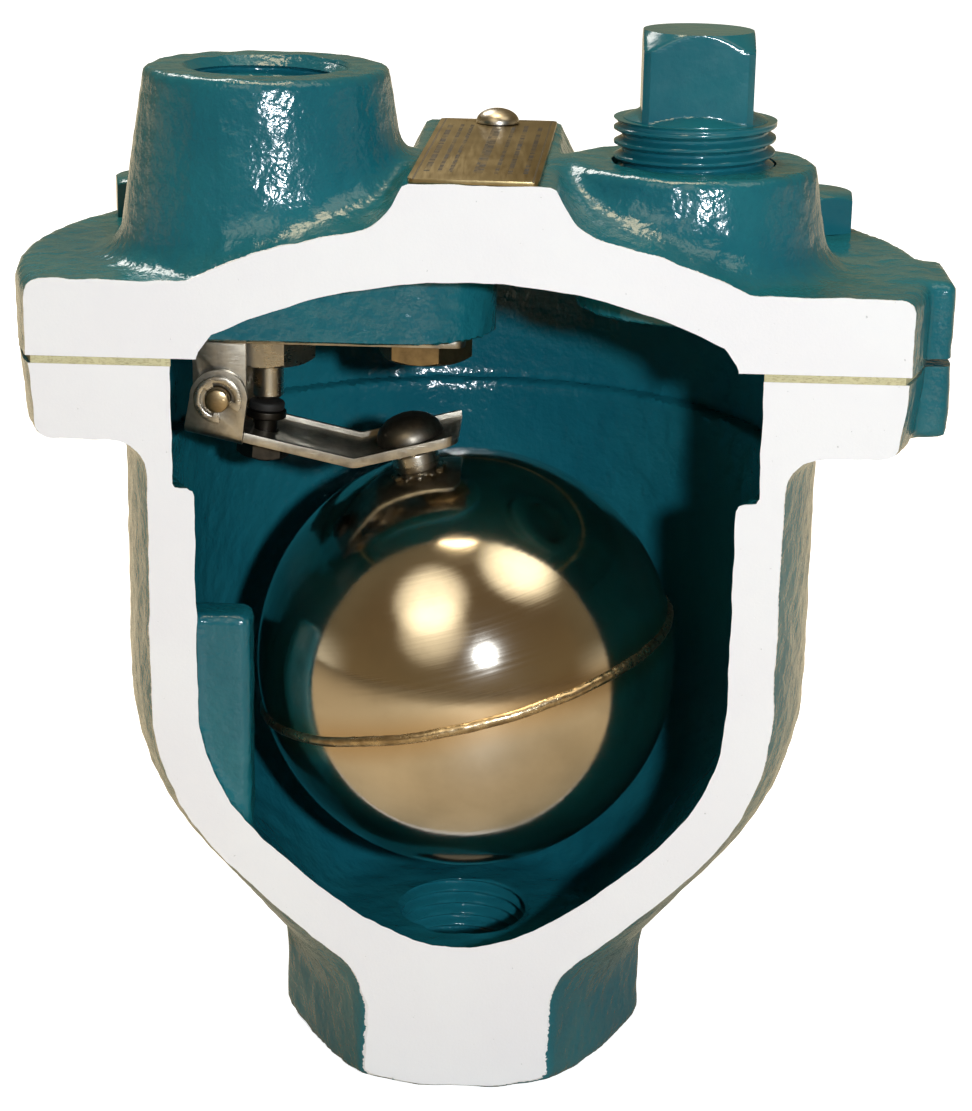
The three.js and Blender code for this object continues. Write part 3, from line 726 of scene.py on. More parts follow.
def lug_distance(x, y, z, low, high):
    near = FLANGE_R - 6, LUG_MIDDLE - LUG_HALF, low
    far = FLANGE_R + LUG_REACH, LUG_MIDDLE + LUG_HALF, high
    return box_distance(x, y, z, near, far, 1.2)


def body_distance(x, y, z):
    r = np.hypot(x, y)
    foot = cut(hexagon_distance(x, y, INLET_FLATS), -profile_distance(r, z, inlet_turned), 0.8)
    made = join(profile_distance(r, z, bowl_outside), foot, 3.2)
    made = join(made, lug_distance(x, y, z, flange_under, BEYOND), 1.0)
    made = cut(made, profile_distance(r, z, bowl_inside), 0.3)
    near = -BOWL_R - 1, -STOP_FRONT, -BOWL_FLOOR
    far = -STOP_FACE, STOP_WIDTH - STOP_FRONT, -STOP_TOP
    rib = cut(box_distance(x, y, z, near, far, 1.3), -profile_distance(r, z, cheek), 0.5)
    return join(made, rib, 1.6)


# %% Body mesh
WAVES = 28


def cast_skin(points, size, seed):
    """A gentle unevenness left by the sand, as a sum of waves in random directions."""
    waves = np.random.default_rng(seed)
    total = np.zeros(len(points))
    for _ in range(WAVES):
        way = waves.normal(size=3)
        way /= np.linalg.norm(way) * waves.uniform(2.2, 7.0) / (2 * math.pi)
        total += np.sin(points @ way + waves.uniform(0, 2 * math.pi))
    return total * size / math.sqrt(WAVES / 2)


def cast(name, field, low, high, step, seed):
    points, quads = sculpt(field, low, high, step)
    probe = 0.05
    slope = np.stack([field(*(points + s).T) - field(*(points - s).T) for s in np.eye(3) * probe]).T
    slope /= np.maximum(np.linalg.norm(slope, axis=1), 1e-6)[:, None]
    points += slope * cast_skin(points, 0.05, seed)[:, None]
    finishes = casting_enamel, sawn_white
    return mesh_object(name, points, quads, *finishes, sharp=CAST_SHARP, outwards=False)


def carve(casting, made):
    boolean(casting, made, sharp=CAST_SHARP)


def front_of_section(low=-120, high=60):
    return block((-AROUND, -AROUND, low), (AROUND, -SECTION, high))


def saw(obj):
    """Cuts a casting along the section plane and paints the sawn face white."""
    carve(obj, front_of_section())
    plane = (SHIFT[1] - SECTION) / PER_METRE
    for face in obj.data.polygons:
        on_plane = face.normal.y < -0.999 and abs(face.center.y - plane) < 2e-6
        face.material_index = int(on_plane)
        face.use_smooth = not on_plane
    obj.data.update()


body = cast("valve_body", body_distance, (-61.6, -24.5, -102.6), (64.6, 61.6, 4.6), 0.85, 3)
BOLT_CIRCLE_R, BOLT_R = 52.5, 3.97
BOLT_ANGLES = {"right": 30, "back": 90, "left": 150}


def bolt_place(degrees):
    angle = math.radians(degrees)
    return BOLT_CIRCLE_R * math.cos(angle), BOLT_CIRCLE_R * math.sin(angle)


def drill_bolts(obj, low, high):
    hole = rod(BOLT_R + 0.3, low, high)
    for angle in BOLT_ANGLES.values():
        boolean(obj, moved(hole, (*bolt_place(angle), 0)), sharp=CAST_SHARP)


INLET_BORE_R, PIPE_PITCH, PIPE_DEPTH = 8.8, 1.814, 1.25
carve(body, block((-AROUND, -AROUND, -GASKET), (AROUND, AROUND, 30)))


def port(radius, length):
    """What a pipe tap of that outside radius leaves in a casting."""
    return run_tree(
        screw_thread, "port", casting_enamel, Radius=radius, Length=length, Pitch=PIPE_PITCH,
        Depth=PIPE_DEPTH, Taper=0.0, Runout=0.1, Rows=110)


inlet = port(INLET_BORE_R + PIPE_DEPTH, JOINT_HEIGHT - BOWL_FLOOR + 2)
carve(body, moved(inlet, (0, 0, (-JOINT_HEIGHT - BOWL_FLOOR) / 2)))
drill_bolts(body, flange_under - 2, 2)
saw(body)
tie(body, "housing", "body")

# %% [markdown]
# ## The cover casting
# The cover is a shallow dome with a flange. Two bosses stand on it, for the outlet and for the
# plug, and between them a raised pad for the nameplate. The fillets where they meet are three
# to five millimetres, which is why the cover looks poured rather than built.

# %% Cover distances
COVER_FLANGE = 9.9
DOME_TOP_R, DOME_TOP, DOME_UNDER_R, DOME_UNDER, DOME_MOUTH_R = 84.0, 20.9, 76.0, 13.95, 40.6
OUTLET_X, OUTLET_TOP, OUTLET_R, OUTLET_FLOOR = -27.5, 34.3, 15.9, 13.0
PLUG_X, PLUG_BOSS_TOP, PLUG_BOSS_R = 28.4, 23.1, 16.0
BOSS_DRAFT = 0.158
PAD_TOP, PAD_X, PAD_WIDTH, PAD_BACK, PAD_DRAFT = 22.9, 1.2, 18.9, 34.0, 0.5
SEAT_PAD_END, SEAT_PAD_R, SEAT_HOLE_R, FRAME_HOLE_R = -9.0, 12.0, 4.7, 3.3
FRAME_SCREW_X = -6.4


def dome(top, radius, start, end, steps=12):
    radii = np.linspace(start, end, steps)
    return [(r, top - radius + math.sqrt(radius ** 2 - r ** 2)) for r in radii]


shoulder = math.sqrt(DOME_TOP_R ** 2 - (DOME_TOP_R - DOME_TOP + COVER_FLANGE) ** 2)
cover_top = to_axis(
    (FLANGE_R, -BEYOND), (FLANGE_R, COVER_FLANGE, 1.9), (shoulder, COVER_FLANGE, 3),
    *dome(DOME_TOP, DOME_TOP_R, shoulder - 2.5, 0))
cover_under = to_axis(
    (DOME_MOUTH_R, -2 * BEYOND), (DOME_MOUTH_R, 0.6, 1.0),
    *dome(DOME_UNDER, DOME_UNDER_R, DOME_MOUTH_R - 1.6, 0))
BURIED = 4.0  # the height at which a boss or the pad starts, inside the dome


def boss(top, radius):
    foot = radius + (top - BURIED) * BOSS_DRAFT
    return to_axis((foot, BURIED), (radius, top, 1.1))


outlet_boss, plug_boss = boss(OUTLET_TOP, OUTLET_R), boss(PLUG_BOSS_TOP, PLUG_BOSS_R)
pad_foot = PAD_WIDTH / 2 + (PAD_TOP - BURIED) * PAD_DRAFT
pad_section = to_axis((pad_foot, BURIED), (PAD_WIDTH / 2, PAD_TOP, 0.9))
under_boss = to_axis((15.0, BURIED, 0.8), (15.0, 12.5))


def cover_distance(x, y, z):
    r = np.hypot(x, y)
    made = profile_distance(r, z, cover_top)
    pad = profile_distance(np.abs(x - PAD_X), z, pad_section)
    made = join(made, cut(pad, PAD_BACK - y, 1.5), 3.0)
    made = join(made, profile_distance(np.hypot(x - PLUG_X, y), z, plug_boss), 4.5)
    made = join(made, profile_distance(np.hypot(x - OUTLET_X, y), z, outlet_boss), 4.5)
    made = join(made, lug_distance(x, y, z, -BEYOND, COVER_FLANGE), 1.0)
    inside = profile_distance(r, z, cover_under)
    seat_pad = np.hypot(np.maximum(x - SEAT_PAD_END, 0), y) - SEAT_PAD_R
    inside = cut(inside, np.maximum(seat_pad, -z), 0.8)
    inside = cut(inside, profile_distance(np.hypot(x - PLUG_X, y), z, under_boss), 2.0)
    return cut(made, inside, 0.4)


cover = cast("valve_cover", cover_distance, (-61.6, -24.5, -4.2), (64.6, 61.6, 36.2), 0.8, 5)

# %% Cover mesh
PLUG_THREAD, PLUG_SHOWN, PLUG_TAPER, PORT_THREAD_R = 19.0, 5.6, 1 / 32, 10.65
plug_top = PLUG_BOSS_TOP + PLUG_SHOWN
carve(cover, block((-AROUND, -AROUND, -40), (AROUND, AROUND, 0)))
outlet_length = OUTLET_TOP - OUTLET_FLOOR + 2
outlet_middle = OUTLET_FLOOR + outlet_length / 2
carve(cover, moved(port(PORT_THREAD_R, outlet_length), (OUTLET_X, 0, outlet_middle)))
lead_low, lead_high = OUTLET_TOP - 2.2, OUTLET_TOP + 0.6
lead_in = lathe([(0, lead_low), (9.0, lead_low), (11.6, lead_high), (0, lead_high)])
carve(cover, moved(lead_in, (OUTLET_X, 0, 0)))
carve(cover, moved(rod(SEAT_HOLE_R, -2, OUTLET_FLOOR + 2), (OUTLET_X, 0, 0)))
carve(cover, moved(rod(FRAME_HOLE_R, -2, 8), (FRAME_SCREW_X, 0, 0)))
bore_r = PORT_THREAD_R + 0.3
bore_foot_r = bore_r - plug_top * PLUG_TAPER
plug_bore = lathe([(0, 0), (bore_foot_r, 0), (bore_r, plug_top), (0, plug_top)])
carve(cover, moved(plug_bore, (PLUG_X, 0, 0)))
drill_bolts(cover, -2, 16)
saw(cover)
tie(cover, "housing", "cover")

# %% [markdown]
# ## Helpers for small machined parts
# The rest is sheet, bar and screws. A prism turns a flat outline into a sheet or a bar, and a
# narrow bevel on its corners catches a line of light, as on every deburred part.

# %% Prisms and bevels
def prism(outline, low, high, flat="XZ"):
    """A flat outline spread from low to high along the axis that it lacks."""
    axis = {"YZ": 0, "XZ": 1, "XY": 2}[flat]
    levels = low, high
    points = [np.insert(np.array(p, float), axis, level) for level in levels for p in outline]
    n = len(outline)
    sides = [(k, (k + 1) % n, n + (k + 1) % n, n + k) for k in range(n)]
    return np.array(points), [tuple(range(n)), tuple(range(2 * n - 1, n - 1, -1)), *sides]


def soften(obj, width, segments=2, limit=30, sharp=MACHINED_SHARP):
    bevel = obj.modifiers.new("bevel", "BEVEL")
    bevel.width, bevel.segments = width / PER_METRE, segments
    bevel.limit_method, bevel.angle_limit = "ANGLE", math.radians(limit)
    return settle_modifiers(obj, sharp)


square = mesh_object("trial", *prism([(0, 0), (1, 0), (1, 1), (0, 1)], 0, 1))
print("a softened cube has", triangles(soften(square, 0.1)), "triangles")
bpy.data.objects.remove(square)


# %% [markdown]
# ## Wrench heads with Geometry Nodes
# Hexagons and squares for a wrench repeat all over the valve: three cap screws, the seat, the
# bracket's screw, a lock nut and the pipe plug. Each is a bar with flat sides whose corners
# are turned off by a cone, which leaves the curved scallops that one sees on a real screw. The
# tree bends a fine cylinder to the smaller of two radii, the flat side's and the cone's.

# %% Head tree
def head_tree():
    g, size = new_tree(
        "wrench_head", Flats=12.7, Height=5.2, Sides=6.0, Top=6.0, Top_slope=1.7, Foot=0.0,
        Foot_slope=1.0, Under=99.0, Under_slope=1.7, Corner=99.0, Rows=40)
    bar = cylinder(g, 96, size["Rows"], 1.0, size["Height"])
    x, y, z = g.axes(g.node("GeometryNodeInputPosition"))
    angle = y.maths("ARCTAN2", x) + 1e-4
    sector = 2 * math.pi / size["Sides"]
    within = angle.maths("FLOORED_MODULO", sector) - sector / 2
    flat = size["Flats"] / 2 / within.maths("COSINE")
    half = size["Height"] / 2
    foot = size["Foot"] - (z + half) * size["Foot slope"]
    top = size["Top"] + (half - z) * size["Top slope"]
    under = size["Under"] + (z + half) * size["Under slope"]
    radius = flat.maths("MAXIMUM", foot).maths("MINIMUM", size["Corner"])
    radius = radius.maths("MINIMUM", top).maths("MINIMUM", under)
    return end_tree(g, size, bar, Position=g.point(x * radius, y * radius, z))


wrench_head = head_tree()


def head(finish, flats, low, high, turn=0.0, place=(0, 0), **inputs):
    """A wrench head from one height to another, in millimetres."""
    sizes = {"Top": flats / 2 * 0.98, "Height": high - low, "Flats": flats, **inputs}
    made = run_tree(wrench_head, "head", finish, **sizes)
    return moved(made, (*place, (low + high) / 2), turn)


print("a hexagon head has", len(head(fastener_enamel, 12.7, 0, 5)[1]), "faces")

# %% [markdown]
# ## Cover bolts
# Six cap screws of five sixteenths of an inch hold the cover. The section took three of them
# away. The others were painted with the casting, so their heads are the same blue-green with
# rounded corners. Each is the head tree joined to the thread tree.

# %% Cover bolts
BOLT_FLATS, BOLT_HEAD, BOLT_LENGTH = 12.7, 5.2, 19.05
BOLT_TURNS = {"right": 27, "back": 8, "left": 41}
SHANK = BOLT_LENGTH + 1  # it begins a millimetre up in the head
shank = run_tree(
    screw_thread, "shank", fastener_enamel, Radius=BOLT_R, Length=SHANK, Pitch=1.411, Depth=0.72,
    Taper=0.0, Runout=1.2, Rows=110, Sides=36)
for side, angle in BOLT_ANGLES.items():
    name, place = "cover_bolt_" + side, bolt_place(angle)
    cap_top = COVER_FLANGE + BOLT_HEAD
    cap = head(fastener_enamel, BOLT_FLATS, COVER_FLANGE, cap_top, BOLT_TURNS[side], place)
    bolt = mesh_object(name, *cap, fastener_enamel)
    boolean(bolt, moved(shank, (*place, COVER_FLANGE + 1 - SHANK / 2)), "UNION")
    tie(bolt, "housing", name)

# %% [markdown]
# ## Pipe plug
# A square head plug of half an inch pipe size closes the second port. Its thread tapers and
# three of its turns stand above the boss. The paint lies thick in the grooves. At the foot of
# the square the cone of the thread's end cuts each flat in a curve.

# %% Pipe plug
PLUG_SQUARE, PLUG_SQUARE_HEIGHT, PLUG_TURN = 14.3, 11.4, 45
thread = run_tree(
    screw_thread, "thread", fastener_enamel, Radius=PORT_THREAD_R, Length=PLUG_THREAD,
    Pitch=PIPE_PITCH, Depth=1.05, Taper=PLUG_TAPER, Runout=1.0, Rows=150, Sides=96, Crest=0.2)
thread = moved(thread, (PLUG_X, 0, plug_top - PLUG_THREAD / 2))
plug = mesh_object("pipe_plug_painted", *thread, fastener_enamel)
square_foot, square_top = plug_top - 0.7, plug_top + PLUG_SQUARE_HEIGHT
boolean(plug, head(
    fastener_enamel, PLUG_SQUARE, square_foot, square_top, PLUG_TURN, (PLUG_X, 0), Sides=4.0,
    Top=PLUG_SQUARE / 2, Top_slope=1.05, Foot=11.2, Foot_slope=2.2, Corner=9.45, Rows=90), "UNION")
tie(plug, "plug", "pipe_plug")


# %% [markdown]
# ## Gasket
# A ring of compressed fibre a millimetre thick seals the joint. It was cut by hand, so its
# outer edge wanders by a fraction of a millimetre and shows as a pale line between the
# flanges. Its finish is a pale tan with short darker fibres.

# %% Gasket
def fibre():
    made = Finish("gasket_fibre", Roughness=0.85)
    strands = made.noise(0.5, 3, 0.7, stretch=(1, 1, 3)).rise(0.45, 0.7)
    shade = made.mix(made.noise(4, 3), colour(222, 214, 170), colour(196, 196, 160))
    made.set(Base_Color=made.mix(strands * 0.45, shade, colour(140, 128, 88)))
    made.relief(strands * 0.05)
    return made.material


def gasket_ring():
    rim, low, high = FLANGE_R - 0.5, -GASKET + NO_TOUCH, -NO_TOUCH
    points, faces = lathe([
        (COUNTERBORE_R, low), (rim, low), (rim, high), (COUNTERBORE_R, high)], 240)
    turns = np.arctan2(points[:, 1], points[:, 0])
    waves = (5, 1, 0.12), (13, 2, 0.07), (31, 4, 0.06)
    wander = sum(np.sin(turns * times + start) * size for times, start, size in waves)
    points[:, :2] *= (1 + wander / FLANGE_R)[:, None]
    return points, faces


gasket = mesh_object("cover_gasket_fibre", *gasket_ring(), fibre())
drill_bolts(gasket, -3, 2)
boolean(gasket, front_of_section(-9, 9))
tie(gasket, "housing", "cover_gasket")


# %% [markdown]
# ## Nameplate
# A thin stainless plate lies askew on its pad, held at the back by a drive screw. On the real
# one it is etched and filled with black. Here the marks are plain ruled bars and a box, with
# no lettering: a rule repeated along the plate's own axes.

# %% Nameplate
PLATE_WIDTH, PLATE_LENGTH, PLATE, PLATE_TURN = 16.4, 51.8, 0.6, -1.8
plate_middle = PLATE_LENGTH / 2 - SECTION + 0.3


def etched():
    made = Finish("etched_plate", Metallic=1.0)
    turn = math.radians(PLATE_TURN)
    dx, dy = made.x - PAD_X, made.y - plate_middle
    u = dx * math.cos(turn) + dy * math.sin(turn)
    v = dy * math.cos(turn) - dx * math.sin(turn)
    lines = (-6.3, 0.75), (-4.7, 0.5), (-3.3, 0.5), (0.2, 1.25), (2.5, 0.5), (4.2, 0.6), (6.2, 0.6)
    rows = None
    for at, size in lines:
        row = abs(u - at).below(size / 2)
        rows = row if rows is None else rows + row
    square = made.point((v * 0.95).maths("FLOOR"), (u * 0.6).maths("FLOOR"))
    cell = made.node("ShaderNodeTexWhiteNoise", {"noise_dimensions": "2D"}, {"Vector": square})
    dash = abs((v * 0.95).maths("FRACT") - 0.5).below(cell * 0.42 + 0.06)
    field = abs(v).below(PLATE_LENGTH / 2 - 5.6)
    marks = rows * dash * field
    border = abs(abs(u) - 7.45).below(0.12)
    marks = (marks + border * 0.8).clamp()
    on_top = (made.z - (PAD_TOP + PLATE / 2)).maths("GREATER_THAN", 0.2)
    marks = marks * on_top
    brushed = made.noise(0.35, 3, 0.6, stretch=(1, 0.06, 1))
    metal = made.mix(made.noise(9, 2).rise(0.3, 0.7), colour(166, 150, 112), colour(136, 120, 84))
    made.set(Base_Color=made.mix(marks, metal, colour(22, 20, 18)))
    made.set(Metallic=1 - marks * 0.9, Roughness=brushed * 0.2 + marks * 0.25 + 0.22)
    made.relief(brushed * 0.006 - marks * 0.03)
    return made.material


SIGNS = (-1, -1), (1, -1), (1, 1), (-1, 1)
outline = corner_round([(sx * PLATE_WIDTH / 2, sy * PLATE_LENGTH / 2, 0.9) for sx, sy in SIGNS])
sheet = prism(outline, PAD_TOP + NO_TOUCH, PAD_TOP + PLATE, "XY")
sheet = moved(sheet, (PAD_X, plate_middle, 0), PLATE_TURN)
plate = mesh_object("nameplate_etched", *sheet, etched())
DRIVE_FROM_END, DRIVE_HEAD_R = 3.6, 3.0
drive_y = plate_middle + PLATE_LENGTH / 2 - DRIVE_FROM_END
drive_x = PAD_X - math.tan(math.radians(PLATE_TURN)) * (drive_y - plate_middle)
boolean(plate, moved(rod(1.7, PAD_TOP - 1, PAD_TOP + 2), (drive_x, drive_y, 0)))
boolean(plate, front_of_section(0))
soften(plate, 0.08)
tie(plate, "housing", "nameplate")


# %% [markdown]
# ## Bright steel and sheet steel
# Screws, seat and pin are turned from stainless bar and keep the fine rings of the tool. The
# bracket and the lever are stamped from sheet and tumbled, which leaves them greyer and softer
# in their gloss.

# %% Bar and sheet finishes
def steel(name, light, dark, gloss, grain, stretch=(1, 1, 1)):
    """Bare metal between two colours; gloss is its lowest roughness, grain is in millimetres."""
    made = Finish(name, Metallic=1.0)
    lines = made.noise(0.3, 3, 0.6, stretch=stretch)
    patches = made.noise(2.6, 3, 0.6).rise(0.32, 0.68)
    scratch = made.noise(0.22, 1, 0.5, stretch=(0.12, 1, 1)).rise(0.66, 0.74)
    made.set(Base_Color=made.mix((patches * 0.75 + scratch * 0.2).clamp(), light, dark))
    made.set(Roughness=lines * 0.16 + patches * 0.08 + gloss)
    made.relief(lines * grain + scratch * grain * 0.8)
    return made.material


bright_steel = steel(
    "bright_steel", colour(196, 190, 178), colour(158, 152, 140), 0.17, 0.010, (0.25, 0.25, 1.6))
sheet_steel = steel(
    "sheet_steel", colour(176, 170, 158), colour(120, 114, 104), 0.22, 0.012, (0.2, 1, 1))
dark_steel = steel("dark_steel", colour(120, 114, 104), colour(70, 66, 60), 0.30, 0.010)
screw_steel = steel(
    "screw_steel", colour(170, 150, 116), colour(120, 104, 78), 0.22, 0.010, (0.4, 0.4, 1.2))
# Black oxide, kept near black so that it also stands in for the shade under the lever: painted
# shade.
oxide_and_shade_steel = steel("black_oxide_steel", colour(64, 60, 54), colour(34, 32, 30), 0.32, 0.008)
print("steels:", [m.name for m in bpy.data.materials if "steel" in m.name])

# %% Drive screw
QUARTER = [(math.sin(a), math.cos(a)) for a in np.radians(range(90, -1, -9))]


def dome_profile(radius, low, height, shank_radius, shank_low):
    """Dome head on a shank, as (radius, height) points."""
    edge = [(0, shank_low), (shank_radius - 0.25, shank_low), (shank_radius, shank_low + 0.3),
            (shank_radius, low), (radius - 0.15, low), (radius, low + 0.12)]
    return edge + [(radius * s, low + 0.25 + (height - 0.25) * c) for s, c in QUARTER]


DOME_SHARP = 50
shape = lathe(dome_profile(DRIVE_HEAD_R, PAD_TOP + PLATE + NO_TOUCH, 2.1, 1.35, PAD_TOP - 4.2), 72)
shape = moved(shape, (drive_x, drive_y, 0))
drive = mesh_object("nameplate_drive_screw_dome", *shape, bright_steel, sharp=DOME_SHARP)
tie(drive, "housing", "nameplate_drive_screw")

# %% [markdown]
# ## Seat and its nozzle
# The orifice is a hexagon that screws up into the outlet, with a short nozzle below it that
# the rubber button closes. The nozzle is polished by its turning tool.

# %% Seat
SHEET = 1.0
SEAT_FLATS, SEAT_HEX, SEAT_THREAD_R = 11.1, 3.9, 4.4
NOZZLE_R, NOZZLE_END, ORIFICE_R = 2.05, 10.0, 1.2
hexagon = head(bright_steel, SEAT_FLATS, 0, SEAT_HEX - NO_TOUCH, 5, Top=5.5)
hexagon = moved(hexagon, (OUTLET_X, 0, -SHEET - NO_TOUCH), 180, "X")
seat = mesh_object("valve_seat_bright", *hexagon, bright_steel)
stem = lathe([
    (ORIFICE_R, -NOZZLE_END), (NOZZLE_R - 0.35, -NOZZLE_END), (NOZZLE_R, -NOZZLE_END + 0.35),
    (NOZZLE_R, -SHEET - 1), (SEAT_THREAD_R, -SHEET - 1), (SEAT_THREAD_R, 7.4),
    (SEAT_THREAD_R - 0.5, 8), (ORIFICE_R, 8)], 64)
boolean(seat, moved(stem, (OUTLET_X, 0, 0)), "UNION")
boolean(seat, moved(rod(ORIFICE_R, -NOZZLE_END - 1, 9), (OUTLET_X, 0, 0)))
tie(seat, "housing", "valve_seat")

# %% [markdown]
# ## Bracket
# The bracket is a strip of sheet whose two ears are bent down to carry the pin. A bent sheet
# is made from two outlines: its section across the bend, with round corners, and its side
# view. Where the two prisms meet is the bent ear.

# %% Bracket
PIN_X, PIN_DROP, PIN_R = -33.1, 8.2, 1.5875
FRAME_HALF, FRAME_EAR_R = 8.0, 3.5
FRAME_SCREW_FLATS, FRAME_SCREW_HEAD, FRAME_SCREW_R = 11.1, 3.1, 3.0


def ear_outline(x, z, radius, foot, steps=24):
    """A straight ear with a round end about a point; foot gives the other end's corners."""
    start = math.pi if foot[0][1] > z else 0
    turns = np.linspace(start, start + math.pi, steps)
    return [(x + radius * math.cos(a), z + radius * math.sin(a)) for a in turns] + foot


def channel(half, low, high, wall, web, inner=0.4, outer=1.3, up=False):
    """Section across a bent sheet: two walls joined by a web at the top, or at the bottom."""
    end, start = (high, low) if up else (low, high)
    web_inside = start + web if up else start - web
    inside = half - wall
    return corner_round([
        (-half, end), (-half, start, outer), (half, start, outer), (half, end),
        (inside, end), (inside, web_inside, inner), (-inside, web_inside, inner), (-inside, end)])


ACROSS = 12  # half a cutter's length, more than the bracket's and the lever's half width
pin_hole = moved(rod(PIN_R + 0.15, -ACROSS, ACROSS), (PIN_X, 0, -PIN_DROP), 90, "X")
ear_left, ear_right = PIN_X - FRAME_EAR_R, PIN_X + FRAME_EAR_R
section = channel(FRAME_HALF, -14, -NO_TOUCH, SHEET, SHEET)
bracket = mesh_object(
    "lever_bracket", *prism(section, ear_left - 1, ear_right + 1, "YZ"), sheet_steel)
ear_side = ear_outline(PIN_X, -PIN_DROP, FRAME_EAR_R, [(ear_right, 1), (ear_left, 1)])
boolean(bracket, prism(ear_side, -ACROSS, ACROSS), "INTERSECT")
strip_start, strip_end = ear_right - 3, FRAME_SCREW_X + FRAME_SCREW_FLATS / 2
strip = corner_round([
    (strip_start, -FRAME_HALF), (strip_end, -FRAME_HALF, 1.5),
    (strip_end, FRAME_HALF, 1.5), (strip_start, FRAME_HALF)])
boolean(bracket, prism(strip, -SHEET, -NO_TOUCH, "XY"), "UNION")
boolean(bracket, pin_hole)
for place, radius in ((OUTLET_X, SEAT_THREAD_R), (FRAME_SCREW_X, FRAME_SCREW_R)):
    boolean(bracket, moved(rod(radius + 0.2, -3, 3), (place, 0, 0)))
soften(bracket, 0.16)
tie(bracket, "housing", "lever_frame")

# %% Bracket screw and pin
hexagon = head(screw_steel, FRAME_SCREW_FLATS, 0, FRAME_SCREW_HEAD, 11, Top=5.3, Top_slope=1.9)
hexagon = moved(hexagon, (FRAME_SCREW_X, 0, -SHEET - NO_TOUCH), 180, "X")
screw = mesh_object("bracket_screw", *hexagon, screw_steel)
boolean(screw, moved(rod(FRAME_SCREW_R, -SHEET - 1, 6.9), (FRAME_SCREW_X, 0, 0)), "UNION")
tie(screw, "housing", "frame_screw")

LEVER_EAR_IN = FRAME_HALF + 0.3
LEVER_HALF = LEVER_EAR_IN + SHEET
CLIP_IN, CLIP, PIN_STUB = LEVER_HALF + 0.3, 0.6, 1.0
pin_end = CLIP_IN + CLIP + PIN_STUB
groove_r, groove_in, groove_out = 1.2, CLIP_IN - 0.05, CLIP_IN + CLIP + 0.05
half_pin = [
    (PIN_R, groove_in), (groove_r, groove_in), (groove_r, groove_out), (PIN_R, groove_out),
    (PIN_R, pin_end - 0.4), (PIN_R - 0.12, pin_end - 0.18), (PIN_R - 0.5, pin_end - 0.03),
    (0, pin_end)]
shape = lathe([(r, -z) for r, z in reversed(half_pin)] + half_pin, 56)
shape = moved(shape, (PIN_X, 0, -PIN_DROP), 90, "X")
pin = mesh_object("pivot_pin_turned", *shape, screw_steel)
tie(pin, "housing", "pivot_pin")

# %% [markdown]
# ## Retaining clips
# An E-clip snaps into a groove at each end of the pin. Its three prongs touch the pin and
# between them two curved windows make it springy, with the mouth turned down to the right.

# %% Clips
CLIP_R, CLIP_TURN = 3.1, -58


def clip_outline():
    mouth, prong, window_r = 27, 22, 2.32
    path = [(CLIP_R, a) for a in np.linspace(mouth, 360 - mouth, 60)]
    prongs = ((360 - mouth - prong, 360 - mouth), (165, 195), (mouth, mouth + prong))
    for a in np.linspace(360 - mouth, mouth, 120):
        at_prong = any(low <= a <= high for low, high in prongs)
        path.append((PIN_R + 0.04 if at_prong else window_r, a))
    turned = [(r, math.radians(a + CLIP_TURN)) for r, a in path]
    return [(r * math.cos(a) + PIN_X, r * math.sin(a) - PIN_DROP) for r, a in turned]


outline = clip_outline()
for name, near in (("front", -CLIP_IN - CLIP), ("back", CLIP_IN)):
    sheet = prism(outline, near, near + CLIP)
    clip = mesh_object("pivot_clip_" + name + "_e", *sheet, bright_steel)
    soften(clip, 0.12, limit=50)
    tie(clip, "housing", "pivot_clip_" + name)

# %% [markdown]
# ## Lever
# The lever is a stamping too: a flat arm with a bend, and two ears bent up outside the
# bracket's. It is made from a channel turned to the slope of the arm, trimmed to the ears'
# outline, and joined to the bent strip.

# %% Lever sizes
LEVER_SHEET, WEB_SLOPE, TIP_SLOPE = 1.3, 12.3, 14.5
WEB_START, WEB_DROP, BEND_X, TIP_END = -37.7, 13.0, -15.4, -1.6
ARM_HALF, EAR_FOOT, LEVER_EAR_R = 7.2, 7.6, 3.8
REST_OPENING = 4.5
web_fall, tip_rise = math.tan(math.radians(WEB_SLOPE)), math.tan(math.radians(TIP_SLOPE))


def web_under(x):
    return -WEB_DROP - (x - WEB_START) * web_fall


bend_z = web_under(BEND_X)


def tip_under(x):
    return bend_z + (x - BEND_X) * tip_rise


web_thick = LEVER_SHEET / math.cos(math.radians(WEB_SLOPE))
tip_thick = LEVER_SHEET / math.cos(math.radians(TIP_SLOPE))
FLOAT_SCREW_X = -8.1


def hung_open(made):
    """Places a shape made under the closed orifice, hanging open with the lever."""
    spin = np.array(Matrix.Rotation(math.radians(REST_OPENING), 3, "Y"))
    hinge = np.array((PIN_X, 0, -PIN_DROP))
    return (made[0] + (OUTLET_X, 0, 0) - hinge) @ spin.T + hinge, made[1]


def on_float_axis(made):
    """Places a shape made about the float's axis, height 0 at the lever's underside."""
    return moved(made, (FLOAT_SCREW_X, 0, tip_under(FLOAT_SCREW_X)), -TIP_SLOPE, "Y")


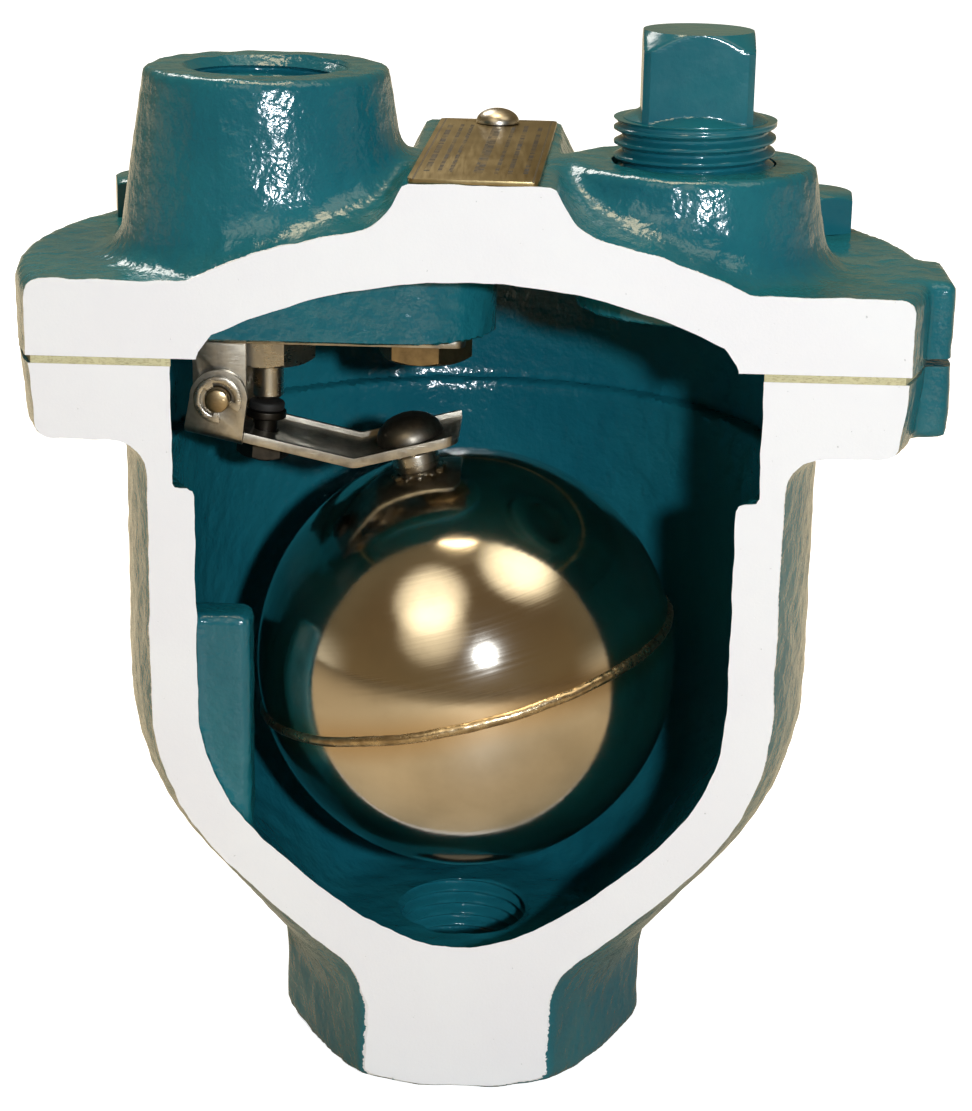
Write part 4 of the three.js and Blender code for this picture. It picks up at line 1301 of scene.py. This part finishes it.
# %% Lever mesh
foot_end = WEB_START + EAR_FOOT
ears = mesh_object("lever_arm_stamped", *moved(prism(
    channel(LEVER_HALF, 0, 16, SHEET, LEVER_SHEET, up=True), -4, 16, "YZ"),
    (WEB_START, 0, -WEB_DROP), WEB_SLOPE, "Y"), sheet_steel)
ear_side = ear_outline(PIN_X, -PIN_DROP, LEVER_EAR_R, [
    (WEB_START, web_under(WEB_START) + 0.6), (WEB_START + 0.2, web_under(WEB_START) - 2),
    (foot_end, web_under(foot_end) - 2), (foot_end, web_under(foot_end) + 0.5)])
boolean(ears, prism(ear_side, -ACROSS, ACROSS), "INTERSECT")
arm_start, tip_z = WEB_START + 0.6, tip_under(TIP_END)
start_z = web_under(arm_start)
strip = corner_round([
    (arm_start, start_z), (BEND_X, bend_z, 3.2), (TIP_END, tip_z), (TIP_END, tip_z + tip_thick),
    (BEND_X, bend_z + web_thick, 2.0), (arm_start, start_z + web_thick)])
arm = mesh_object("arm", *prism(strip, -ARM_HALF, ARM_HALF), sheet_steel)
FLOOR_SHEET, LIP = 0.65, 0.65  # the arm is a shallow tray with a lip along each side
floor_path = [(foot_end + 0.8, web_under), (BEND_X, web_under), (TIP_END + 2, tip_under)]
pocket = [(x, under(x) + FLOOR_SHEET) for x, under in floor_path]
pocket += [(x, z + 3) for x, z in reversed(pocket)]
boolean(arm, prism(pocket, LIP - ARM_HALF, ARM_HALF - LIP))
plan = corner_round([
    (WEB_START - 2, -ARM_HALF), (TIP_END, -ARM_HALF, 2.2), (TIP_END, ARM_HALF, 1.0),
    (WEB_START - 2, ARM_HALF)])
boolean(arm, prism(plan, -30, 0, "XY"), "INTERSECT")
boolean(ears, arm, "UNION")
boolean(ears, pin_hole)
boolean(ears, hung_open(rod(1.9, -24, -11)))
boolean(ears, on_float_axis(rod(2.3, -2, 3)))
soften(ears, 0.17, segments=3)
tie(ears, "float_lever", "lever_arm")


# %% [markdown]
# ## Button, retainer and lock nut
# A small rubber disc closes the nozzle. A flat-headed screw holds it, and a lock nut under the
# lever sets its height.

# %% Button and its screw
def moulded_rubber():
    made = Finish("moulded_rubber")
    made.set(Base_Color=made.mix(made.noise(0.8, 3), colour(16, 15, 14), colour(28, 27, 25)))
    made.set(Roughness=made.noise(0.4, 2) * 0.2 + 0.55)
    made.relief(made.noise(0.25, 3) * 0.012)
    return made.material


BUTTON_R, BUTTON, RETAINER_R, RETAINER_HEAD, RETAINER_STEM_R = 2.4, 1.2, 2.7, 1.1, 1.6
LOCK_FLATS, LOCK_NUT = 6.4, 2.2
retainer_top = -NOZZLE_END - 0.1 - BUTTON
open_drop = (OUTLET_X + LOCK_FLATS / 2 - PIN_X) * math.tan(math.radians(REST_OPENING))
nut_top = web_under(OUTLET_X + LOCK_FLATS / 2) + open_drop - 0.3
button_low, button_top = retainer_top + NO_TOUCH, retainer_top + BUTTON
disc = to_axis((BUTTON_R, button_low, 0.25), (BUTTON_R, button_top, 0.35), axis=0)
button = mesh_object("orifice_button_rubber", *hung_open(lathe(disc, 48)), moulded_rubber())
tie(button, "float_lever", "orifice_button")
stem_low, head_under = nut_top - LOCK_NUT - 0.6, retainer_top - RETAINER_HEAD
screw = to_axis(
    (RETAINER_STEM_R, stem_low, 0.3), (RETAINER_STEM_R, head_under),
    (RETAINER_R, head_under, 0.2), (RETAINER_R, retainer_top, 0.2), axis=0)
# The retainer screw and the lock nut take the near-black finish, which also paints the shade under
# the lever.
retainer = mesh_object("button_retainer_screw", *hung_open(lathe(screw, 48)), oxide_and_shade_steel)
tie(retainer, "float_lever", "button_retainer")
lock_nut = mesh_object("button_lock_nut_hex", *hung_open(head(
    oxide_and_shade_steel, LOCK_FLATS, nut_top - LOCK_NUT, nut_top, 12, Under=3.1)), oxide_and_shade_steel)
boolean(lock_nut, hung_open(rod(RETAINER_STEM_R + 0.1, nut_top - LOCK_NUT - 1, nut_top + 1)))
tie(lock_nut, "float_lever", "button_lock_nut")


# %% [markdown]
# ## Float
# Two half balls are spun from thin stainless and welded at the equator, then polished. The
# polish is bright but not optical: it shows the room in front as a soft-edged disc, and the
# dark inside of the bowl round it. Heat from the weld left a warm straw tint beside the seam.

# %% Polished steel
FLOAT_WALL, FLOAT_BELOW = 0.9, 31.3


def polish():
    made = Finish("polished_float", Metallic=1.0)
    sine, cosine = math.sin(math.radians(TIP_SLOPE)), math.cos(math.radians(TIP_SLOPE))
    middle_x = FLOAT_SCREW_X + FLOAT_BELOW * sine
    middle_z = tip_under(FLOAT_SCREW_X) - FLOAT_BELOW * cosine
    along = (made.x - middle_x) * -sine + (made.z - middle_z) * cosine
    heat = 1 - along.maths("ABSOLUTE").rise(0.3, 4.5)
    lines = {"W": along * 2.2, "Detail": 4.0, "Scale": 1.0}
    rings = made.node("ShaderNodeTexNoise", {"noise_dimensions": "1D"}, lines)
    smear = made.noise(9, 4, 0.6).rise(0.35, 0.7)
    steel_tint = made.mix(smear * 0.5, colour(222, 216, 206), colour(196, 190, 176))
    made.set(Base_Color=made.mix(heat * 0.6, steel_tint, colour(196, 164, 112)))
    made.set(Roughness=smear * 0.05 + heat * 0.05 + rings * 0.05 + 0.075)
    made.relief(rings * 0.004 + made.noise(2.4, 3, 0.5) * 0.006 + made.noise(12, 2) * 0.02)
    return made.material


# %% Float halves
polished = polish()
shell_in = FLOAT_R - FLOAT_WALL
STEM_BOSS_R, STEM_BOSS, WASHER_R, WASHER = 3.2, 5.4, 4.4, 0.9
rim = 0.35
BALL_SHARP, BEAD_SHARP = 60, 70


def half_ball(pole_radius, up):
    """Closed profile of half a hollow ball; up is 1 or -1."""
    def sweep(radius, start_height, end_radius):
        first, last = math.asin(start_height / radius), math.acos(end_radius / radius)
        return [(radius * math.cos(a), radius * math.sin(a)) for a in np.linspace(first, last, 56)]
    outside, inside = sweep(FLOAT_R, rim, pole_radius), sweep(shell_in, rim, pole_radius)
    points = [(r if r > 1e-5 else 0.0, z * up) for r, z in outside + inside[::-1]]
    if up < 0:
        points.reverse()
    if not pole_radius:
        k = [i for i, p in enumerate(points) if p[0] == 0.0]
        points = points[k[-1]:] + points[:k[0] + 1]
    return points


def at_float(made):
    return on_float_axis((made[0] - (0, 0, FLOAT_BELOW), made[1]))


for name, pole_radius, up in (("upper", STEM_BOSS_R + 0.05, 1), ("lower", 0, -1)):
    half = at_float(lathe(half_ball(pole_radius, up), 144))
    half = mesh_object("float_" + name + "_half_polished", *half, polished, sharp=BALL_SHARP)
    tie(half, "float_lever", "float_" + name + "_half")


# %% [markdown]
# ## Weld bead
# The seam was welded by hand in short overlapping ripples. A tree sweeps a small round section
# along the equator and pushes it about with two noises, one for the ripples and one for the
# way the torch wandered.

# %% Bead tree
def bead_tree():
    g, size = new_tree(
        "weld_bead", Radius=28.85, Width=1.0, Ripple=0.2, Wander=0.25, Seed=4.0, Steps=720)

    def circle(points, radius):
        sockets = {"Resolution": points, "Radius": radius}
        return g.node("GeometryNodeCurvePrimitiveCircle", {}, sockets)

    def waves(seed, scale):
        sockets = {"Vector": place, "W": seed, "Scale": scale, "Detail": 1.0}
        return g.node("ShaderNodeTexNoise", {"noise_dimensions": "4D"}, sockets) - 0.5

    ring, section = circle(size["Steps"], size["Radius"]), circle(12, size["Width"] / 2)
    tube = g.node("GeometryNodeCurveToMesh", {}, {"Curve": ring, "Profile Curve": section})
    place = g.node("GeometryNodeInputPosition")
    ripple, wander = waves(size["Seed"], 0.85), waves(size["Seed"] + 7, 0.16)
    x, y, _ = g.axes(place)
    share = ripple * size["Ripple"] * 2 / size["Radius"]
    return end_tree(g, size, tube, Offset=g.point(
        x * share, y * share, wander * size["Wander"] * 4 + ripple * size["Ripple"]))


# %% Bead
bead_steel = steel("weld_steel", colour(206, 188, 156), colour(132, 112, 84), 0.18, 0.02)
ripples = run_tree(
    bead_tree(), "bead", bead_steel, Radius=FLOAT_R - 0.3, Width=1.6, Ripple=0.13, Wander=0.10)
bead = mesh_object("float_weld_bead_rippled", *at_float(ripples), bead_steel, sharp=BEAD_SHARP)
tie(bead, "float_lever", "float_weld_bead")

# %% [markdown]
# ## Float screw, washer and boss
# A low, wide dome holds the float to the lever. Under the lever a toothed lock washer bites
# on the short threaded boss that is welded into the float's pole.

# %% Float screw
FLOAT_SCREW_R, FLOAT_SCREW_HEAD_R, FLOAT_SCREW_HEAD = 2.0, 4.4, 3.5
screw = on_float_axis(lathe(dome_profile(
    FLOAT_SCREW_HEAD_R + 0.2, FLOOR_SHEET + 0.05, FLOAT_SCREW_HEAD, FLOAT_SCREW_R,
    LEVER_SHEET - 4.9), 72))
dome_screw = mesh_object("float_screw_dome", *screw, dark_steel, sharp=DOME_SHARP)
tie(dome_screw, "float_lever", "float_screw")
TOOTH, TOOTH_POINTS = 0.7, 48  # every tooth and every gap takes two points
teeth = []
for k in range(TOOTH_POINTS):
    r, a = WASHER_R - TOOTH * (k % 4 > 1), 2 * math.pi * k / TOOTH_POINTS
    teeth.append((r * math.cos(a), r * math.sin(a)))
ring = on_float_axis(prism(teeth, -0.05 - WASHER, -0.05, "XY"))
washer = mesh_object("float_lock_washer_toothed", *ring, bright_steel)
boolean(washer, on_float_axis(rod(FLOAT_SCREW_R + 0.2, -2, 1)))
soften(washer, 0.1)
tie(washer, "float_lever", "float_lock_washer")
boss_top = -WASHER - 0.2
boss_low, bore_r = boss_top - STEM_BOSS, FLOAT_SCREW_R + 0.2
sleeve = corner_round([
    (bore_r, boss_low), (STEM_BOSS_R, boss_low, 0.3), (STEM_BOSS_R, boss_top, 0.35),
    (bore_r, boss_top, 0.2)])
sleeve = on_float_axis(lathe(sleeve, 64))
stem_boss = mesh_object("float_stem_boss_turned", *sleeve, bright_steel)
tie(stem_boss, "float_lever", "float_stem_boss")

# %% [markdown]
# ## Stage and light
# The valve stands on a plain pale floor. The main light is a small one beside the camera, a
# little above it, so the bowl's inside stays dark and its shadows are crisp. A warm soft light
# overhead, a wide one behind and a weak warm room fill in, and the polished float shows them
# back.

# %% Floor
def lit_floor():
    made = Finish("floor_paint", Roughness=0.6)
    eye = made.node("ShaderNodeLightPath", output="Is Camera Ray")
    made.set(Base_Color=made.mix(eye, colour(196, 178, 146), colour(250, 250, 250)))
    gloss = made.node("ShaderNodeLightPath", output="Is Glossy Ray")
    behind = gloss * made.y.rise(-60, 160)
    shown = made.mix(behind, (0, 0, 0, 1), colour(206, 194, 168))
    made.set(Emission_Color=made.mix(eye, shown, (1, 1, 1, 1)))
    made.shader.inputs["Emission Strength"].default_value = 0.86
    return made.material


FLOOR_HALF, FLOOR_Z = 3e3, -JOINT_HEIGHT - 0.2
corners = [(sx * FLOOR_HALF, sy * FLOOR_HALF, FLOOR_Z) for sx, sy in SIGNS]
floor = mesh_object("floor", corners, [(0, 1, 2, 3)], lit_floor())


# %% World
def room():
    world = bpy.data.worlds.new("room")
    scene.world = world
    world.use_nodes = True
    g = Graph(world.node_tree)
    way = g.node("ShaderNodeTexCoord", output="Generated")
    _, depth, up = g.axes(way)
    front = depth * -1
    sides = g.mix(up.rise(-0.05, 0.26), colour(214, 200, 170), colour(112, 98, 72))
    ahead = g.mix(up.rise(-0.1, 0.7), colour(118, 98, 66), colour(104, 84, 56))
    behind = g.mix(up.rise(-0.02, 0.3), colour(150, 134, 100), colour(118, 102, 72))
    walls = g.mix(front.rise(-0.5, -0.2), behind, sides)
    walls = g.mix(front.rise(0.1, 0.5), walls, ahead)
    lamps = (
        ((-0.30, -0.62, 0.72), 0.985, 1.6), ((-0.28, -0.80, 0.52), 0.99, 1.0),
        ((0.43, -0.24, 0.87), 0.985, 2.2), ((-0.1, 0.3, 0.95), 0.97, 1.0))
    glow = None
    for towards, wide, power in lamps:
        spot = g.vector("DOT_PRODUCT", way, Vector(towards).normalized(), output="Value")
        spot = spot.rise(wide - 0.06, wide + 0.014) * power
        glow = spot if glow is None else glow + spot
    lamp = g.scaled((1.0, 0.86, 0.6), glow)
    lit = g.vector("ADD", walls, lamp)
    eye = g.node("ShaderNodeLightPath", output="Is Camera Ray")
    matt = g.node("ShaderNodeLightPath", output="Is Diffuse Ray")
    lit = g.mix(matt, lit, colour(52, 54, 58))
    seen = g.mix(eye, lit, (1, 1, 1, 1))
    back = world.node_tree.nodes["Background"]
    world.node_tree.links.new(seen.socket, back.inputs["Color"])
    back.inputs["Strength"].default_value = 1.0


room()


# %% Lights
def light(name, place, aim, power, size, tint):
    data = bpy.data.lights.new(name, "AREA")
    data.energy, data.color = power, tint
    data.shape, data.size = "DISK", size
    lamp = bpy.data.objects.new(name, data)
    scene.collection.objects.link(lamp)
    lamp.location = place
    lamp.rotation_euler = (Vector(aim) - Vector(place)).to_track_quat("-Z", "Y").to_euler()


light("flash", (0.105, -0.485, 0.225), (0, 0, 0.07), 1.86, 0.025, (0.88, 0.94, 1.0))
light("ceiling", (-0.05, 0.0, 0.75), (0, 0, 0.08), 2.2, 0.3, (1.0, 0.78, 0.48))
light("window", (-0.5, 0.8, 1.1), (0, 0, 0.07), 9.0, 0.6, (1.0, 0.96, 0.9))
